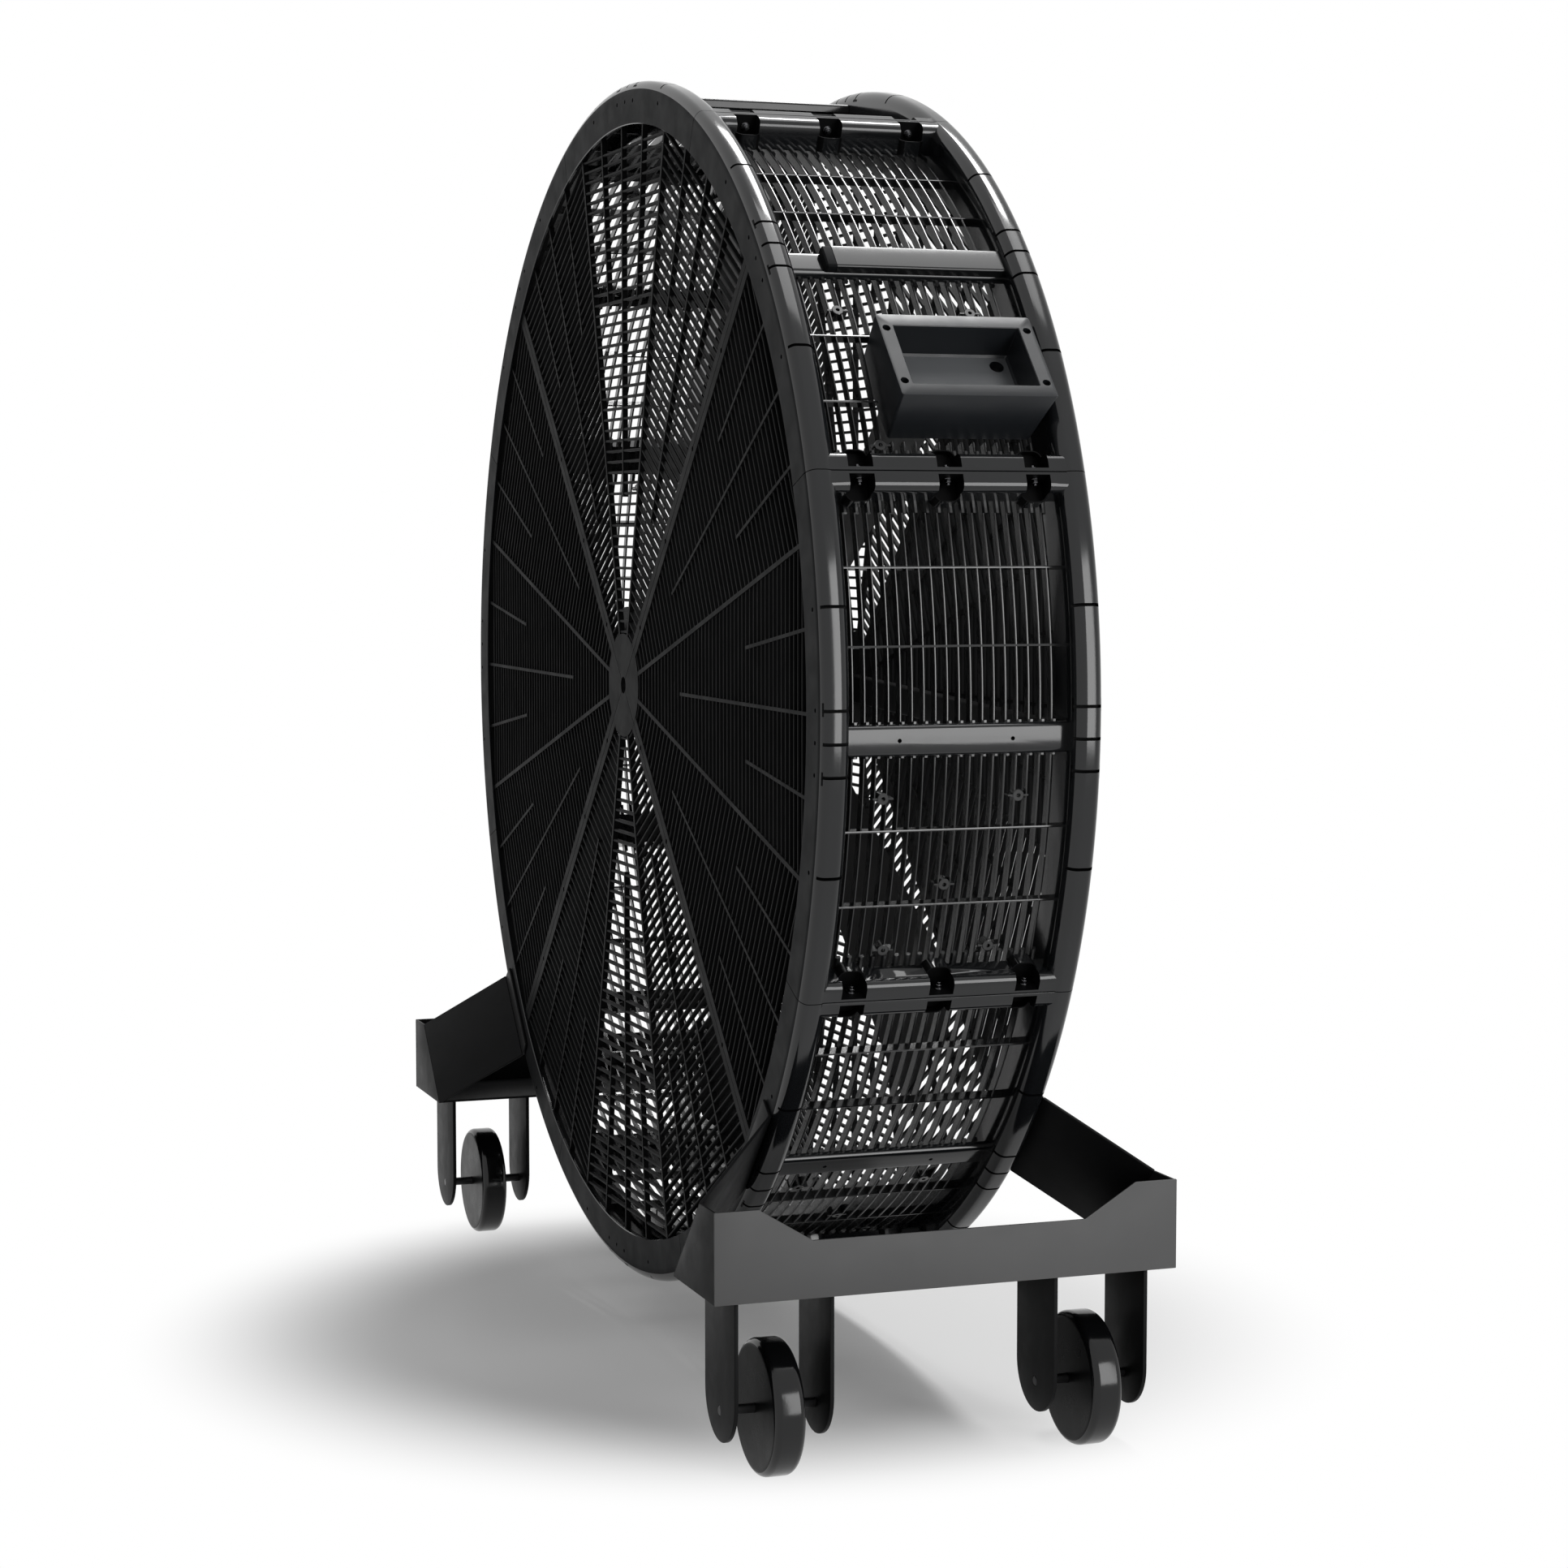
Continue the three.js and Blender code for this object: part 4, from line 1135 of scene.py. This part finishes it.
def seen_or_mirrored(nodes, links):
    """1 for rays from the camera and for rays that gloss or glass sends on."""
    path = nodes.new("ShaderNodeLightPath").outputs
    first = nodes.new("ShaderNodeMath")
    second = nodes.new("ShaderNodeMath")
    first.operation = second.operation = "MAXIMUM"
    links.new(path["Is Camera Ray"], first.inputs[0])
    links.new(path["Is Glossy Ray"], first.inputs[1])
    links.new(first.outputs[0], second.inputs[0])
    links.new(path["Is Transmission Ray"], second.inputs[1])
    return second.outputs[0]


def add_world():
    world = bpy.data.worlds.new("studio")
    world.use_nodes = True
    nodes, links = world.node_tree.nodes, world.node_tree.links
    back = nodes["Background"]
    back.inputs["Color"].default_value = (1, 1, 1, 1)
    level = nodes.new("ShaderNodeMapRange")
    level.inputs["To Min"].default_value = WORLD_LEVEL
    level.inputs["To Max"].default_value = 1.0
    links.new(seen_or_mirrored(nodes, links), level.inputs["Value"])
    links.new(level.outputs["Result"], back.inputs["Strength"])
    bpy.context.scene.world = world


def add_floor():
    half = FLOOR_SIZE / 2
    data = bpy.data.meshes.new("floor")
    corners = [(-half, -half, 0), (half, -half, 0), (half, half, 0), (-half, half, 0)]
    data.from_pydata(corners, [], [(0, 1, 2, 3)])
    paint = bpy.data.materials.new("floor")
    paint.use_nodes = True
    nodes, links = paint.node_tree.nodes, paint.node_tree.links
    nodes.remove(nodes["Principled BSDF"])
    plain = nodes.new("ShaderNodeBsdfDiffuse")
    plain.inputs["Color"].default_value = (FLOOR_COLOUR,) * 3 + (1,)
    glow = nodes.new("ShaderNodeEmission")
    both = nodes.new("ShaderNodeAddShader")
    level = nodes.new("ShaderNodeMath")
    level.operation = "MULTIPLY"
    level.inputs[1].default_value = FLOOR_GLOW
    links.new(seen_or_mirrored(nodes, links), level.inputs[0])
    links.new(level.outputs[0], glow.inputs["Strength"])
    links.new(plain.outputs[0], both.inputs[0])
    links.new(glow.outputs[0], both.inputs[1])
    spot = nodes.new("ShaderNodeVectorMath")
    spot.operation = "LENGTH"
    links.new(nodes.new("ShaderNodeTexCoord").outputs["Object"], spot.inputs[0])
    fade = nodes.new("ShaderNodeMapRange")
    fade.interpolation_type = "SMOOTHSTEP"
    fade.inputs["From Min"].default_value, fade.inputs["From Max"].default_value = FLOOR_FADE
    links.new(spot.outputs["Value"], fade.inputs["Value"])
    share = nodes.new("ShaderNodeMath")
    share.operation = "MULTIPLY"
    links.new(fade.outputs["Result"], share.inputs[0])
    links.new(seen_or_mirrored(nodes, links), share.inputs[1])
    white = nodes.new("ShaderNodeEmission")
    blend = nodes.new("ShaderNodeMixShader")
    links.new(share.outputs[0], blend.inputs[0])
    links.new(both.outputs[0], blend.inputs[1])
    links.new(white.outputs[0], blend.inputs[2])
    links.new(blend.outputs[0], nodes["Material Output"].inputs["Surface"])
    data.materials.append(paint)
    floor = bpy.data.objects.new("floor", data)
    bpy.context.scene.collection.objects.link(floor)


def add_softbox(name, place, target, width, height, radiance):
    lamp = bpy.data.lights.new(name, "AREA")
    lamp.shape = "RECTANGLE"
    lamp.size, lamp.size_y = width, height
    lamp.energy = radiance * math.pi * width * height
    item = bpy.data.objects.new(name, lamp)
    item.location = place
    item.rotation_euler = (Vector(target) - Vector(place)).to_track_quat("-Z", "Y").to_euler()
    item.visible_camera = False
    bpy.context.scene.collection.objects.link(item)


def add_camera():
    data = bpy.data.cameras.new("camera")
    data.sensor_width = SENSOR
    data.lens = LENS
    item = bpy.data.objects.new("camera", data)
    item.location = CAMERA_PLACE
    item.rotation_euler = (math.radians(90 - CAMERA_ELEVATION), 0, math.radians(CAMERA_AZIMUTH))
    bpy.context.scene.collection.objects.link(item)
    bpy.context.scene.camera = item


build_drum()
build_rotor()
build_base()
add_world()
add_floor()
for lamp_name, settings in SOFTBOXES.items():
    add_softbox(lamp_name, *settings)
add_camera()
bpy.context.scene.view_settings.view_transform = "Standard"
